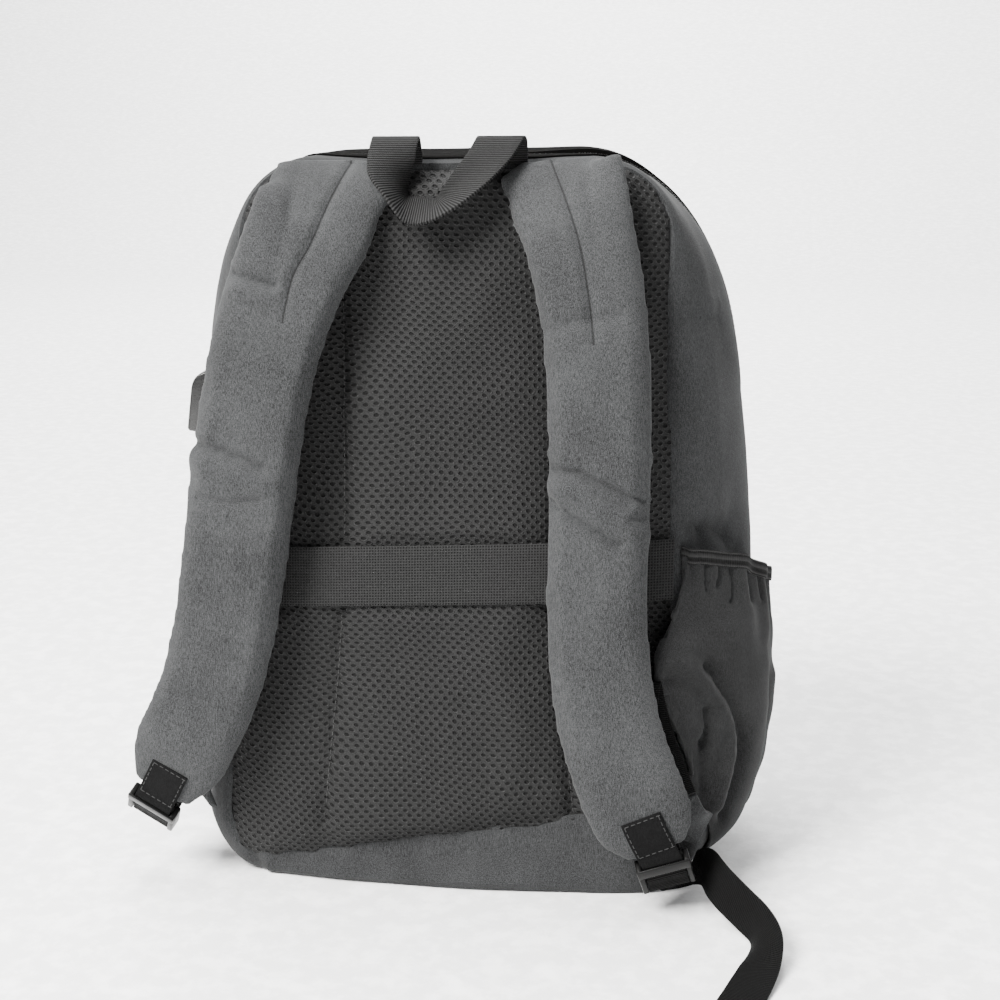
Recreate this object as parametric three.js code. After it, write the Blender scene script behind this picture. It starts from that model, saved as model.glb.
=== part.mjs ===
// A laptop backpack standing on its base, with the wearer's side facing -Y.
// Millimetres, +Z up, the origin on the floor at the middle of the base.
import * as THREE from "three";
import { LoftGeometry } from "three/addons/geometries/LoftGeometry.js";
import { mergeVertices } from "three/addons/utils/BufferGeometryUtils.js";

// Driving dimensions of the bag
const clearance = 0.3; // between pieces that touch
const clothWall = 2;
const bagHeight = 452;
const backAtFloor = -82; // the back panel's plane where it meets the floor
const backLean = THREE.MathUtils.degToRad(6);
const depthAtFloor = 176;
const depthAtTop = 106;
const depthCurve = 1.6; // how late the depth falls off towards the top
const frontCentreHeight = 205;
const frontCrown = 14;
const weldDistance = 1e-3;

const leftTuck = 0.02; // share by which the left side leans in towards its top
const tuckFrom = { start: 180, end: 385 }; // heights
const baseBulge = { out: 14, top: 45, full: 0.05, start: 0.1, end: 0.4 }; // pushed out below the panel
const normalStep = 2e-3;
const twistStep = THREE.MathUtils.degToRad(7); // most that a ribbon turns from one section to the next

// Zip along the top arch
const zipWidth = 8;
const zipStart = 0.5; // share of the half outline, from the base to the top
const zipEnd = 0.008; // the short stretch where the opening closes
const zipTape = 1.4;
const zipRecess = 0.8;
const teethRise = 0.7;
const teethHalf = { top: 1.2, foot: 1.6 };
const sliderSize = { across: 7, along: 12, rise: 4.2 };
const sliderAround = 1.485;

// Back panel
const panelBacking = 3;
const panelInset = 2.5;
const panelEdge = 1;
const middlePad = 9;
const sidePad = 5;
const padFlat = 4; // how flat the middle pad is before it falls to the channels
const padRound = 0.6;
const padTopFade = 0.2; // share of the panel's height over which the pads fade at the top
const channelTop = 65; // half distance between the sewn channels
const channelFoot = 80;
const channelCurve = 220; // height where the channels begin to spread

// Webbing and bands
const webbingWidth = 25;
const webbingThick = 1.5;
const bandWidth = 37;
const bandThick = 1.6;
const bandHeight = 202;
const bandSlope = 0.045;
const bandReach = 134; // half its length
const bandOffEdge = 3.9; // distance off the panel at its ends and middle
const bandOffMiddle = 11.4;
const bandSteps = 20;
const handleWidth = 28;
const handleThick = 1.6;
const tabThick = 1.6;
const tabSteps = 2; // ribbon steps for each row of a table

// Ladder-lock buckle
const buckleWidth = 33;
const buckleThick = 6;
const buckleSlot = 27;
const buckleCorner = 2.5;
const buckleBars = [
  { top: 2, foot: -2 },
  { top: -10, foot: -13.5 },
  { top: -18.5, foot: -22 },
];
const buckleFromStrap = 7; // strap's end to the buckle's top bar
const buckleTilt = { left: 40, right: 22 }; // degrees that the buckle's foot swings back
const tabPlaces = { left: [0.92, 0.945, 0.97, 1], right: [0.893, 0.93, 0.97, 1] }; // along the strap
const tabBehindPlaces = [1, 0.96];

// Side pocket
const pocketWall = 1.6;
const pocketSeat = 0.6; // off the bag's side along its sewn edges
const pocketColumns = 26;
const columnCrowd = 1.3; // columns stand closer together towards the back edge
const footAtBack = 61;
const footAtFront = 13;
const pocketBack = 0.012; // shares of the bag's depth
const pocketFront = 0.63;
const mouthAtBack = 219;
const mouthAtFront = 186;
const pocketBulge = 19;
const pocketRound = 0.8; // below 1, the bulge rises quickly from the sewn edges
// The pocket's cloth puffed backwards beside the back panel
const pocketPuff = { x: 8, y: 12, across: 0.18, reach: 0.22, up: 0.52, height: 0.3 };
const pocketGathers = 6;
const gatherRise = 1.5;
const bindingHeight = 8.5;
const bindingThick = 2.6;

// Port housing
const portLength = 42;
const portWidth = 18;
const portRise = 10.5;
const portRamp = 14;
const portEdge = 1.5;
const portBevel = { deep: 2, side: 1.2 };
const portPlace = { y: 16, z: 291 };

// Rows of numbers under the names of their columns.
function table(names, rows) {
  return rows.map((row) => Object.fromEntries(row.map((value, i) => [names[i], value])));
}

// The bag's outline from the back rim (depth 0) to the front edge (depth 1): half widths at the top and
// foot corners, how far each corner reaches in and down, and the swell of the sides between them.
const bodyRows = table(
  ["depth", "top", "topHalf", "topReach", "topDrop", "footHalf", "footRadius", "foot", "tilt", "belly"],
  [
    [0.0, 446, 133, 42, 46, 145, 34, 31.5, 0.17, -3],
    [0.03, 448.5, 138, 49, 56, 151, 36, 12, 0.06, 0],
    [0.07, 449.5, 143, 57, 68, 157, 40, 0, 0, 3],
    [0.2, 450.5, 157, 80, 104, 168, 46, 0, 0, 7],
    [0.5, 452, 174, 106, 148, 176, 52, 0, 0, 9],
    [0.8, 441, 164, 106, 148, 166, 52, 0, 0, 8],
    [0.93, 424, 148, 98, 138, 151, 48, 2, 0, 7],
    [1.0, 403, 128, 88, 124, 133, 44, 13, 0, 6],
  ],
);
// The seam between the rear and the front of the bag: near the back at the top, half way down the sides.
const seamRows = table(
  ["half", "depth"],
  [
    [0, 0.64],
    [0.5, 0.64],
    [0.62, 0.61],
    [0.74, 0.42],
    [0.86, 0.22],
    [1, 0.17],
  ],
);
// A dent in the right side above the pocket's mouth.
const dent = { deep: 7, z: 226, height: 18, depth: 0.2, reach: 0.17, edge: 0.08 };
// Where each stretch of the half outline ends, from the middle of the base to the middle of the top.
const outlineEnds = { foot: 0.14, footCorner: 0.3, side: 0.6, topCorner: 0.86 };
const outlineSteps = { foot: 3, footCorner: 4, side: 9, topCorner: 6, top: 3 };

// Shoulder straps: the middle of the pad, its distance off the panel, half width and thickness.
const strapColumns = ["x", "z", "off", "half", "thick"];
const strapRows = {
  left: table(strapColumns, [
    [-75, 443, 3.6, 28.5, 4],
    [-75, 435, 10, 33.5, 6.5],
    [-75, 426, 15, 37.5, 9],
    [-79, 411, 20.5, 38.5, 11.5],
    [-93, 379, 26, 36.5, 13],
    [-106.5, 337, 30, 35, 13],
    [-116, 291, 31, 34.5, 13],
    [-123, 244, 30, 34.5, 13],
    [-129.5, 200, 28, 34, 13],
    [-137.5, 157, 26, 33.5, 13],
    [-148.5, 121, 25, 33, 12.5],
    [-160.5, 96, 25, 32, 12],
    [-170.5, 77, 24.5, 29, 10.5],
    [-180, 60, 22, 19, 7],
  ]),
  right: table(strapColumns, [
    [69, 444, 3.6, 26, 4],
    [68, 436, 10, 32.5, 6.5],
    [70.5, 426, 15, 35, 9],
    [77, 409, 20.5, 34, 11.5],
    [84.5, 379, 26, 33, 13],
    [91, 335, 31, 32, 13],
    [93.5, 285, 33, 31.5, 13],
    [93.5, 232, 33, 31, 13],
    [93, 194, 32, 31, 13],
    [95, 157, 31, 31.5, 13],
    [99.5, 125, 31, 32, 12.5],
    [108, 96, 32, 32.5, 12],
    [117.5, 74, 35, 32, 11],
    [125.5, 56, 35, 29.5, 9.5],
    [131.5, 42.5, 31, 19, 7],
  ]),
};
const strapSteps = 32;
const strapEdge = 5; // how square the strap's edges are
const dartLength = 95;
const dartStart = 0.5; // sideways place at the top seam, as a share of the half width
const dartDepth = 1.6;
const dartWidth = 0.14;
const dartFullThick = 8; // strap thickness from which the dart has its full depth

// Grab handle: the middle of the webbing and the direction across it.
const ribbonColumns = ["x", "y", "z", "wx", "wy", "wz"];
const handleRows = table(ribbonColumns, [
  [-31, -36.4, 445.2, 1, 0, 0],
  [-31, -38.5, 455, 1, 0, 0],
  [-31, -43.5, 461, 1, 0, 0],
  [-30.5, -49.5, 457.5, 1, 0.05, 0],
  [-29.5, -53, 447, 0.98, 0.15, 0.08],
  [-26.5, -55.5, 436.5, 0.85, 0.4, 0.3],
  [-18.5, -57, 427.5, 0.3, 0.72, 0.62],
  [-5, -57, 427, -0.3, 0.72, 0.62],
  [7.5, -56, 437, -0.85, 0.4, 0.3],
  [19, -53.5, 449.5, -0.98, 0.15, 0.1],
  [27.5, -49.5, 458.5, -1, 0.05, 0],
  [31, -43.5, 462, -1, 0, 0],
  [32, -38.5, 455, -1, 0, 0],
  [32, -36.4, 445.2, -1, 0, 0],
]);
const handleSteps = 3; // ribbon steps for each row of the table

// Webbing and tab in the frames of a strap's end and of its buckle, which differ by the buckle's tilt:
// along runs up the strap, out faces the wearer.
const threadColumns = ["along", "out"];
const behindStrap = table(threadColumns, [
  [20, -9.6],
  [8, -10],
]);
const buckleThread = table(threadColumns, [
  [-6.6, -4.6],
  [-7.6, 0],
  [-8.2, 3.6],
  [-10.6, 5],
  [-16, 4.8],
  [-21.6, 5],
  [-24.2, 3],
  [-24.6, -0.5],
  [-24.4, -5],
]);
const tabLoop = table(threadColumns, [
  [2.6, 4.7],
  [0, 4.6],
  [-2.6, 4.3],
  [-4.3, 2.6],
  [-4.6, 0],
  [-4.3, -2.6],
  [-2.6, -4.3],
  [0, -4.7],
]);

// Webbing outside the buckles: from the anchor to the buckle, and the free end on the floor.
const webbingRows = {
  rightLead: table(ribbonColumns, [
    [141.5, -82.4, 68.5, 0.93, 0.05, 0.36],
    [135.5, -84, 85, 0.94, 0.05, 0.3],
    [127.5, -84.5, 108, 0.96, 0.05, 0.2],
    [121.5, -84, 130, 0.98, 0, 0.15],
    [119.8, -84, 138, 0.98, 0, 0.15],
    [119.3, -84.8, 141, 0.98, 0, 0.15],
    [119, -86.7, 142.3, 0.98, 0, 0.15],
    [118.7, -88.6, 141, 0.98, 0, 0.15],
    [118.2, -89.4, 138, 0.98, 0, 0.15],
    [117.5, -94.5, 100, 0.97, 0, 0.25],
    [122, -100, 74, 0.95, 0, 0.3],
  ]),
  rightTail: table(ribbonColumns, [
    [144.8, -87.5, 14.6, 0.92, 0.05, 0.38],
    [147.2, -80.5, 15.2, 0.72, 0, 0.7],
    [150.2, -74.5, 16.2, 0.34, 0, 0.94],
    [154.8, -71.2, 17.6, 0.12, 0, 0.99],
    [159.8, -74, 19.5, 0.05, 0, 1],
    [162.8, -82, 21.5, 0.05, 0.05, 1],
    [166.2, -94, 23.2, 0.1, 0.05, 1],
    [172.5, -105, 21, 0.1, 0.05, 0.99],
    [184, -118, 15, 0.12, 0.1, 0.98],
    [192.5, -131, 12.6, 0.3, 0.1, 0.94],
    [195.5, -147, 9.4, 0.74, 0, 0.64],
    [192.5, -163, 4.6, 0.95, -0.2, 0.26],
    [186.5, -182, 1.7, 0.92, -0.39, 0.04],
    [179, -204, 1, 0.92, -0.39, 0],
    [170.5, -228, 1, 0.92, -0.39, 0],
  ]),
  leftLead: table(ribbonColumns, [
    [-164.9, -84.4, 72.8, 0.98, -0.12, 0.05],
    [-163.5, -84.5, 80, 0.98, -0.05, -0.12],
    [-160.3, -84, 90, 0.93, 0, -0.3],
    [-157.4, -83.6, 98.5, 0.88, 0, -0.45],
    [-156.2, -84.2, 102.6, 0.86, 0, -0.5],
    [-155.7, -86.2, 104.4, 0.86, 0, -0.5],
    [-156.2, -88.2, 102.6, 0.86, 0, -0.5],
    [-158.4, -88.8, 98, 0.86, 0, -0.5],
  ]),
  leftTail: table(threadColumns, [
    [-21.5, -8.5],
    [-17.5, -13.5],
    [-14.5, -19.5],
  ]),
};
const webbingSteps = 3; // ribbon steps for each row of a table

// Cloth wedges in the lower side seams: the sewn edge and the edge that holds the webbing.
const anchorThick = 3;
const anchorColumns = [...ribbonColumns, "half"];
const anchorRows = {
  right: table(anchorColumns, [
    [158.6, -68.2, 42, 0.35, 0.3, 0.88, 11],
    [149.5, -79.8, 52.5, 0.8, 0.15, 0.5, 12],
    [142.2, -82.2, 66.5, 0.93, 0.05, 0.36, 12.5],
  ]),
  left: table(anchorColumns, [
    [-155.8, -73.6, 50, 0.3, -0.2, -0.95, 9],
    [-163, -81.5, 60, 0.75, -0.1, -0.6, 11],
    [-164.8, -84, 70.5, 0.95, -0.1, 0, 12.5],
  ]),
};
const anchorSteps = 3;

// Finishes
const greyCloth = new THREE.MeshStandardMaterial({ color: 0x4a4b4d, roughness: 0.92, metalness: 0 });
const strapCloth = new THREE.MeshStandardMaterial({ color: 0x5e5f61, roughness: 0.92, metalness: 0 });
const blackMesh = new THREE.MeshStandardMaterial({ color: 0x1d1d1e, roughness: 0.9, metalness: 0 });
const blackWebbing = new THREE.MeshStandardMaterial({ color: 0x202021, roughness: 0.8, metalness: 0 });
const zipTapeBlack = new THREE.MeshStandardMaterial({ color: 0x242425, roughness: 0.75, metalness: 0 });
const greyPlastic = new THREE.MeshStandardMaterial({ color: 0x3a3b3d, roughness: 0.4, metalness: 0 });
const portPlastic = new THREE.MeshStandardMaterial({ color: 0x2b2c2e, roughness: 0.3, metalness: 0 });
const sliderMetal = new THREE.MeshStandardMaterial({ color: 0x38393a, roughness: 0.35, metalness: 0.8 });

const lerp = THREE.MathUtils.lerp;
const smoothstep = THREE.MathUtils.smoothstep;

// A smooth curve through one column of a table, as a function of a rising column.
function curveOf(rows, along, name) {
  const last = rows.length - 1;
  const slopes = rows.map((row, i) => {
    const before = rows[Math.max(i - 1, 0)];
    const after = rows[Math.min(i + 1, last)];
    return (after[name] - before[name]) / (after[along] - before[along]);
  });
  return (at) => {
    const found = rows.findIndex((row) => row[along] > at);
    const i = THREE.MathUtils.clamp((found < 0 ? last : found) - 1, 0, last - 1);
    const span = rows[i + 1][along] - rows[i][along];
    const s = (at - rows[i][along]) / span;
    const bend = s * s * (3 - 2 * s);
    const pull = s * (1 - s) * span * (slopes[i] * (1 - s) - slopes[i + 1] * s);
    return lerp(rows[i][name], rows[i + 1][name], bend) + pull;
  };
}

// The normal of a ring of points, by Newell's sum.
function ringNormal(points) {
  const normal = new THREE.Vector3();
  points.forEach((p, i) => {
    const q = points[(i + 1) % points.length];
    normal.x += (p.y - q.y) * (p.z + q.z);
    normal.y += (p.z - q.z) * (p.x + q.x);
    normal.z += (p.x - q.x) * (p.y + q.y);
  });
  return normal;
}

function ringMiddle(points) {
  const middle = new THREE.Vector3();
  points.forEach((point) => middle.add(point));
  return middle.divideScalar(points.length);
}

// A closed solid through rings of points, capped at its ends unless they meet.
function loftSolid(rings, capped = true) {
  const onward = ringMiddle(rings[1]).sub(ringMiddle(rings[0]));
  const turned = ringNormal(rings[0]).dot(onward) < 0;
  const sections = turned ? rings.map((ring) => [...ring].reverse()) : rings;
  const loft = new LoftGeometry(sections, { capStart: capped, capEnd: capped });
  const bare = new THREE.BufferGeometry().setAttribute("position", loft.getAttribute("position"));
  const welded = mergeVertices(bare.setIndex(loft.index), weldDistance);
  const corners = [...welded.index.array];
  const kept = [];
  for (let i = 0; i < corners.length; i += 3) {
    const [a, b, c] = corners.slice(i, i + 3);
    if (a !== b && b !== c && c !== a) kept.push(a, b, c);
  }
  welded.setIndex(kept);
  welded.computeVertexNormals();
  return welded;
}

// The plane of the back panel and the bag's depth at a height.
const backY = (z) => backAtFloor + z * Math.tan(backLean);
function bagDepth(z) {
  const up = Math.max(z, 0) / bagHeight;
  return depthAtFloor - (depthAtFloor - depthAtTop) * up ** depthCurve;
}

function offPanel(x, z, off) {
  return new THREE.Vector3(x, backY(z) - off * Math.cos(backLean), z + off * Math.sin(backLean));
}

const bodyColumns = {};
for (const name of Object.keys(bodyRows[0])) bodyColumns[name] = curveOf(bodyRows, "depth", name);

function bodySection(depth) {
  const section = {};
  for (const [name, curve] of Object.entries(bodyColumns)) section[name] = curve(depth);
  return section;
}

// A point of a section's outline; half runs from the middle of the base to the middle of the top.
function outlinePoint(section, half, side) {
  const { topHalf, footHalf, belly, top, topReach, topDrop, footRadius } = section;
  const ends = outlineEnds;
  const footZ = (x) => Math.max(section.foot + section.tilt * side * x, 0);
  const footInner = footHalf - footRadius;
  const topInner = topHalf - topReach;
  if (half <= ends.foot) {
    const x = (footInner * half) / ends.foot;
    return [x, footZ(x)];
  }
  if (half <= ends.footCorner) {
    const angle = ((half - ends.foot) / (ends.footCorner - ends.foot)) * (Math.PI / 2);
    const x = footInner + footRadius * Math.sin(angle);
    return [x, footZ(x) + footRadius * (1 - Math.cos(angle))];
  }
  if (half <= ends.side) {
    const share = (half - ends.footCorner) / (ends.side - ends.footCorner);
    const x = lerp(footHalf, topHalf, share) + belly * Math.sin(Math.PI * share);
    return [x, lerp(footZ(footHalf) + footRadius, top - topDrop, share)];
  }
  if (half <= ends.topCorner) {
    const angle = ((half - ends.side) / (ends.topCorner - ends.side)) * (Math.PI / 2);
    return [topInner + topReach * Math.cos(angle), top - topDrop * (1 - Math.sin(angle))];
  }
  return [(topInner * (1 - half)) / (1 - ends.topCorner), top];
}

// How far the base stands out backwards below the panel.
function baseOut(x, z, depth, half) {
  const { out, top, full, start, end } = baseBulge;
  const inDepth = smoothstep(depth, 0, full) * (1 - smoothstep(depth, start, end));
  return out * inDepth * (1 - smoothstep(z, 0, top)) * Math.max(1 - (x / half) ** 2, 0);
}

// How far the right side is pressed in above the pocket.
function dentAt(z, depth) {
  const near = ((z - dent.z) / dent.height) ** 2 + ((depth - dent.depth) / dent.reach) ** 2;
  return dent.deep * Math.exp(-near) * smoothstep(depth, 0, dent.edge);
}

// A point of the bag's skin. Depth 0 to 1 runs back to front, 1 to 2 across the front face to its middle.
function bodyPoint(around, depth) {
  const turn = THREE.MathUtils.euclideanModulo(around, 2);
  const side = turn <= 1 ? 1 : -1;
  const half = turn <= 1 ? turn : 2 - turn;
  const reach = Math.min(depth, 1);
  const section = bodySection(reach);
  const [x, z] = outlinePoint(section, half, side);
  const tucked = x * (1 - leftTuck * smoothstep(z, tuckFrom.start, tuckFrom.end));
  const width = side > 0 ? x - dentAt(z, reach) : tucked;
  const y = backY(z) + reach * bagDepth(z) - baseOut(x, z, reach, section.footHalf);
  const point = new THREE.Vector3(side * width, y, z);
  if (depth <= 1) return point;
  const inward = depth - 1;
  const middleY = backY(frontCentreHeight) + bagDepth(frontCentreHeight) + frontCrown;
  point.x *= 1 - inward;
  point.z = lerp(point.z, frontCentreHeight, inward);
  point.y = lerp(point.y, middleY, Math.sin((inward * Math.PI) / 2));
  return point;
}

// The same point moved out along the skin's normal.
function bodyAt(around, depth, out) {
  if (depth >= 2) return bodyPoint(around, 2).add(new THREE.Vector3(0, out, 0));
  const round = bodyPoint(around + normalStep, depth).sub(bodyPoint(around - normalStep, depth));
  const deeper = bodyPoint(around, Math.min(depth + normalStep, 2));
  const nearer = bodyPoint(around, Math.max(depth - normalStep, 0));
  const normal = deeper.sub(nearer).cross(round).normalize();
  return bodyPoint(around, depth).addScaledVector(normal, out);
}

// Places round the whole outline, from the middle of the base back to itself.
function outlinePlaces() {
  const places = [0];
  let start = 0;
  for (const [name, steps] of Object.entries(outlineSteps)) {
    const end = outlineEnds[name] ?? 1;
    for (let i = 1; i <= steps; i++) places.push(lerp(start, end, i / steps));
    start = end;
  }
  places.push(zipStart - zipEnd);
  places.sort((a, b) => a - b);
  const mirrored = places.slice(0, -1).reverse();
  return [...places, ...mirrored.map((half) => 2 - half)];
}

// The seam's depth round the outline.
const seamCurve = curveOf(seamRows, "half", "depth");
const seamAt = (around) => seamCurve(around <= 1 ? around : 2 - around);

// Half the opening that the zip fills, as a share of the depth there; below the zip the cloths meet.
function seamHalf(around) {
  const half = around <= 1 ? around : 2 - around;
  const z = bodyPoint(around, seamAt(around)).z;
  const open = half > zipStart - zipEnd / 2 ? zipWidth / 2 : clearance / 2;
  return open / bagDepth(z);
}

function wallRing(around, depths) {
  const outer = depths.map((depth) => bodyAt(around, depth, 0));
  const inner = depths.map((depth) => bodyAt(around, depth, -clothWall));
  return [...outer, ...inner.reverse()];
}

function bagRear() {
  const shares = [0, 0.06, 0.14, 0.28, 0.5, 0.75, 1];
  const rings = outlinePlaces().map((around) => {
    const end = seamAt(around) - seamHalf(around);
    return wallRing(around, shares.map((share) => share * end));
  });
  return loftSolid(rings, false);
}

function bagFront() {
  const sideShares = [0, 0.2, 0.42, 0.62, 0.78, 0.9, 1];
  const faceDepths = [1.2, 1.5, 1.8, 2];
  const rings = outlinePlaces().map((around) => {
    const start = seamAt(around) + seamHalf(around);
    return wallRing(around, [...sideShares.map((share) => lerp(start, 1, share)), ...faceDepths]);
  });
  return loftSolid(rings, false);
}

// Zip tape set into the opening, with the closed teeth standing along its middle.
function mainZip() {
  const reach = zipWidth / 2 - clearance;
  const profile = [
    { across: -reach, rise: 0 },
    { across: -teethHalf.foot, rise: 0 },
    { across: -teethHalf.top, rise: teethRise },
    { across: teethHalf.top, rise: teethRise },
    { across: teethHalf.foot, rise: 0 },
    { across: reach, rise: 0 },
    { across: reach, rise: -zipTape },
    { across: -reach, rise: -zipTape },
  ];
  const first = zipStart + zipEnd / 4;
  const inner = outlinePlaces().filter((around) => around > first && around < 2 - first);
  const rings = [first, ...inner, 2 - first].map((around) => {
    const depth = seamAt(around);
    const perDepth = 1 / bagDepth(bodyPoint(around, depth).z);
    return profile.map((p) => bodyAt(around, depth + p.across * perDepth, p.rise - zipRecess));
  });
  return loftSolid(rings);
}

function zipSlider() {
  const { across, along, rise } = sliderSize;
  const shape = new THREE.Shape();
  shape.absarc(0, along / 2 - across / 2, across / 2, 0, Math.PI);
  shape.lineTo(-across / 3, -along / 2);
  shape.lineTo(across / 3, -along / 2);
  const body = new THREE.ExtrudeGeometry(shape, { depth: rise, bevelEnabled: false, curveSegments: 8 });
  const depth = seamAt(sliderAround);
  const seat = bodyAt(sliderAround, depth, teethRise - zipRecess + clearance);
  const out = bodyAt(sliderAround, depth, 1).sub(bodyAt(sliderAround, depth, 0));
  const above = sliderAround - 0.02;
  const up = bodyAt(above, seamAt(above), 0).sub(bodyAt(sliderAround, depth, 0));
  up.addScaledVector(out, -up.dot(out)).normalize();
  const frame = new THREE.Matrix4().makeBasis(up.clone().cross(out), up, out);
  return body.applyMatrix4(frame).translate(seat.x, seat.y, seat.z);
}

// Height of the padding in front of the panel's plane: three pads between two sewn channels.
function padHeight(x, z, rim) {
  const spread = smoothstep(channelCurve - z, 0, channelCurve);
  const channel = lerp(channelTop, channelFoot, spread);
  const offset = Math.abs(x);
  const end = Math.sqrt(1 - Math.abs(rim.share * 2 - 1) ** 3) * smoothstep(1 - rim.share, 0, padTopFade);
  if (offset < channel) return panelEdge + middlePad * end * (1 - (offset / channel) ** padFlat) ** padRound;
  const share = ((offset - channel) / Math.max(rim.half - channel, 1)) * 2 - 1;
  return panelEdge + sidePad * end * Math.max(1 - share ** 2, 0) ** padRound;
}

function backPanel() {
  const columns = [-1, -0.93, -0.84, -0.74, -0.64, -0.55, -0.5, -0.44, -0.3, -0.12];
  const across = [...columns, ...columns.map((share) => -share).reverse()];
  const rowShares = [0, 0.05, 0.11, 0.16, 0.21, 0.3, 0.4, 0.5, 0.6, 0.67, 0.74, 0.8, 0.85, 0.9, 0.95, 1];
  const rings = rowShares.map((share) => {
    const half = lerp(outlineEnds.foot, outlineEnds.topCorner, share);
    const edges = [2 - half, half].map((around) => {
      const point = bodyPoint(around, 0);
      const run = bodyPoint(around + normalStep, 0).sub(bodyPoint(around - normalStep, 0));
      const outward = new THREE.Vector3(run.z, 0, -run.x).normalize();
      return point.addScaledVector(outward, -panelInset);
    });
    const rim = { half: Math.abs(edges[1].x), share };
    const front = across.map((place) => {
      const x = lerp(edges[0].x, edges[1].x, (place + 1) / 2);
      const z = lerp(edges[0].z, edges[1].z, (place + 1) / 2);
      return new THREE.Vector3(x, backY(z) - padHeight(x, z, rim), z);
    });
    const behind = front.map((point) => new THREE.Vector3(point.x, backY(point.z) + panelBacking, point.z));
    return [...front, ...behind.reverse()];
  });
  return loftSolid(rings);
}

// Places along a ribbon, closer together where it twists.
function ribbonPlaces(across, rowSteps) {
  const last = across.length - 1;
  const places = [0];
  for (let i = 0; i < last; i++) {
    const steps = Math.max(rowSteps, Math.ceil(across[i].angleTo(across[i + 1]) / twistStep));
    for (let k = 1; k <= steps; k++) places.push((i + k / steps) / last);
  }
  return places;
}

// A flat ribbon through rows that give its middle and the direction across it; a square one is cut
// at right angles to its run.
function ribbonSolid(rows, width, thick, rowSteps, square = false) {
  const places = rows.map((row) => new THREE.Vector3(row.x, row.y, row.z));
  const across = rows.map((row) => new THREE.Vector3(row.wx, row.wy, row.wz).normalize());
  const path = new THREE.CatmullRomCurve3(places, false, "centripetal");
  const rings = ribbonPlaces(across, rowSteps).map((at) => {
    const middle = path.getPoint(at);
    const tangent = path.getTangent(at);
    const share = at * (rows.length - 1);
    const row = Math.min(Math.floor(share + 1e-9), rows.length - 2);
    const side = across[row].clone().lerp(across[row + 1], share - row);
    if (square) side.addScaledVector(tangent, -side.dot(tangent));
    side.normalize();
    const face = tangent.clone().cross(side).normalize();
    const half = typeof width === "function" ? width(at) : width / 2;
    const corner = (a, b) => {
      const edge = middle.clone().addScaledVector(side, a * half);
      return edge.addScaledVector(face, (b * thick) / 2);
    };
    return [corner(-1, -1), corner(1, -1), corner(1, 1), corner(-1, 1)];
  });
  return loftSolid(rings);
}

function luggageBand() {
  const rings = [];
  for (let i = 0; i <= bandSteps; i++) {
    const x = lerp(-bandReach, bandReach, i / bandSteps);
    const middle = bandHeight + bandSlope * x;
    const off = bandOffEdge + (bandOffMiddle - bandOffEdge) * (1 - Math.abs(x / bandReach) ** 4);
    const corner = (up, out) => {
      const z = middle + (up * bandWidth) / 2;
      return new THREE.Vector3(x, backY(z) - off - (out * bandThick) / 2, z);
    };
    rings.push([corner(-1, -1), corner(1, -1), corner(1, 1), corner(-1, 1)]);
  }
  return loftSolid(rings);
}

// The frame at a place along a strap: its middle, its direction down, across and out.
function strapFrame(rows, at) {
  const places = rows.map((row) => offPanel(row.x, row.z, row.off));
  const path = new THREE.CatmullRomCurve3(places, false, "centripetal");
  const down = path.getTangent(at);
  const out = new THREE.Vector3(0, -Math.cos(backLean), Math.sin(backLean));
  const across = out.clone().cross(down).negate().normalize();
  return { middle: path.getPoint(at), down, across, out: down.clone().cross(across).negate() };
}

// One column of a strap's table as a function of the share of the way down.
function strapColumn(rows, name) {
  const numbered = rows.map((row, i) => ({ ...row, at: i / (rows.length - 1) }));
  return curveOf(numbered, "at", name);
}

// A padded strap: flat oval sections with the dart seam pressed into its upper front.
function shoulderStrap(rows, inwardSign) {
  const halfAt = strapColumn(rows, "half");
  const thickAt = strapColumn(rows, "thick");
  const topZ = rows[0].z;
  const rings = [];
  for (let i = 0; i <= strapSteps; i++) {
    const at = i / strapSteps;
    const { middle, across, out } = strapFrame(rows, at);
    const half = halfAt(at);
    const thick = thickAt(at);
    const fall = Math.min((topZ - middle.z) / dartLength, 1);
    const dart = inwardSign * dartStart * (1 - fall);
    const depth = dartDepth * smoothstep(1 - fall, 0, 0.25) * Math.min(thick / dartFullThick, 1);
    const leftPart = [0, 0.1, 0.4, 1].map((share) => lerp(-1, dart - dartWidth, share));
    const rightPart = [0, 0.6, 0.9, 1].map((share) => lerp(dart + dartWidth, 1, share));
    const frontPlaces = [...leftPart, dart, ...rightPart];
    const place = (share, height) => {
      const point = middle.clone().addScaledVector(across, share * half);
      return point.addScaledVector(out, height);
    };
    const oval = (share) => (thick / 2) * Math.sqrt(Math.max(1 - Math.abs(share) ** strapEdge, 0));
    const front = frontPlaces.map((share) => place(share, oval(share) - (share === dart ? depth : 0)));
    const behind = [0.92, 0.5, 0, -0.5, -0.92].map((share) => place(share, -oval(share)));
    rings.push([...front, ...behind]);
  }
  return loftSolid(rings);
}

// Ribbon rows that lie on a strap's front (face 1) or back (face -1).
function onStrap(rows, places, face) {
  const thickAt = strapColumn(rows, "thick");
  return places.map((at) => {
    const { middle, across, out } = strapFrame(rows, at);
    middle.addScaledVector(out, face * (thickAt(at) / 2 + clearance + tabThick / 2));
    return { ...middle, wx: -across.x, wy: -across.y, wz: -across.z };
  });
}

// The frame at a strap's end, on the buckle's top bar, with along running back up the strap.
function strapEndFrame(rows, distance) {
  const end = strapFrame(rows, 1);
  const along = end.down.clone().negate();
  const place = end.middle.clone().addScaledVector(end.down, distance);
  const across = along.clone().cross(end.out).normalize();
  return new THREE.Matrix4().makeBasis(across, along, end.out).setPosition(place);
}

function tilted(frame, degrees) {
  return frame.clone().multiply(new THREE.Matrix4().makeRotationX(THREE.MathUtils.degToRad(degrees)));
}

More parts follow.
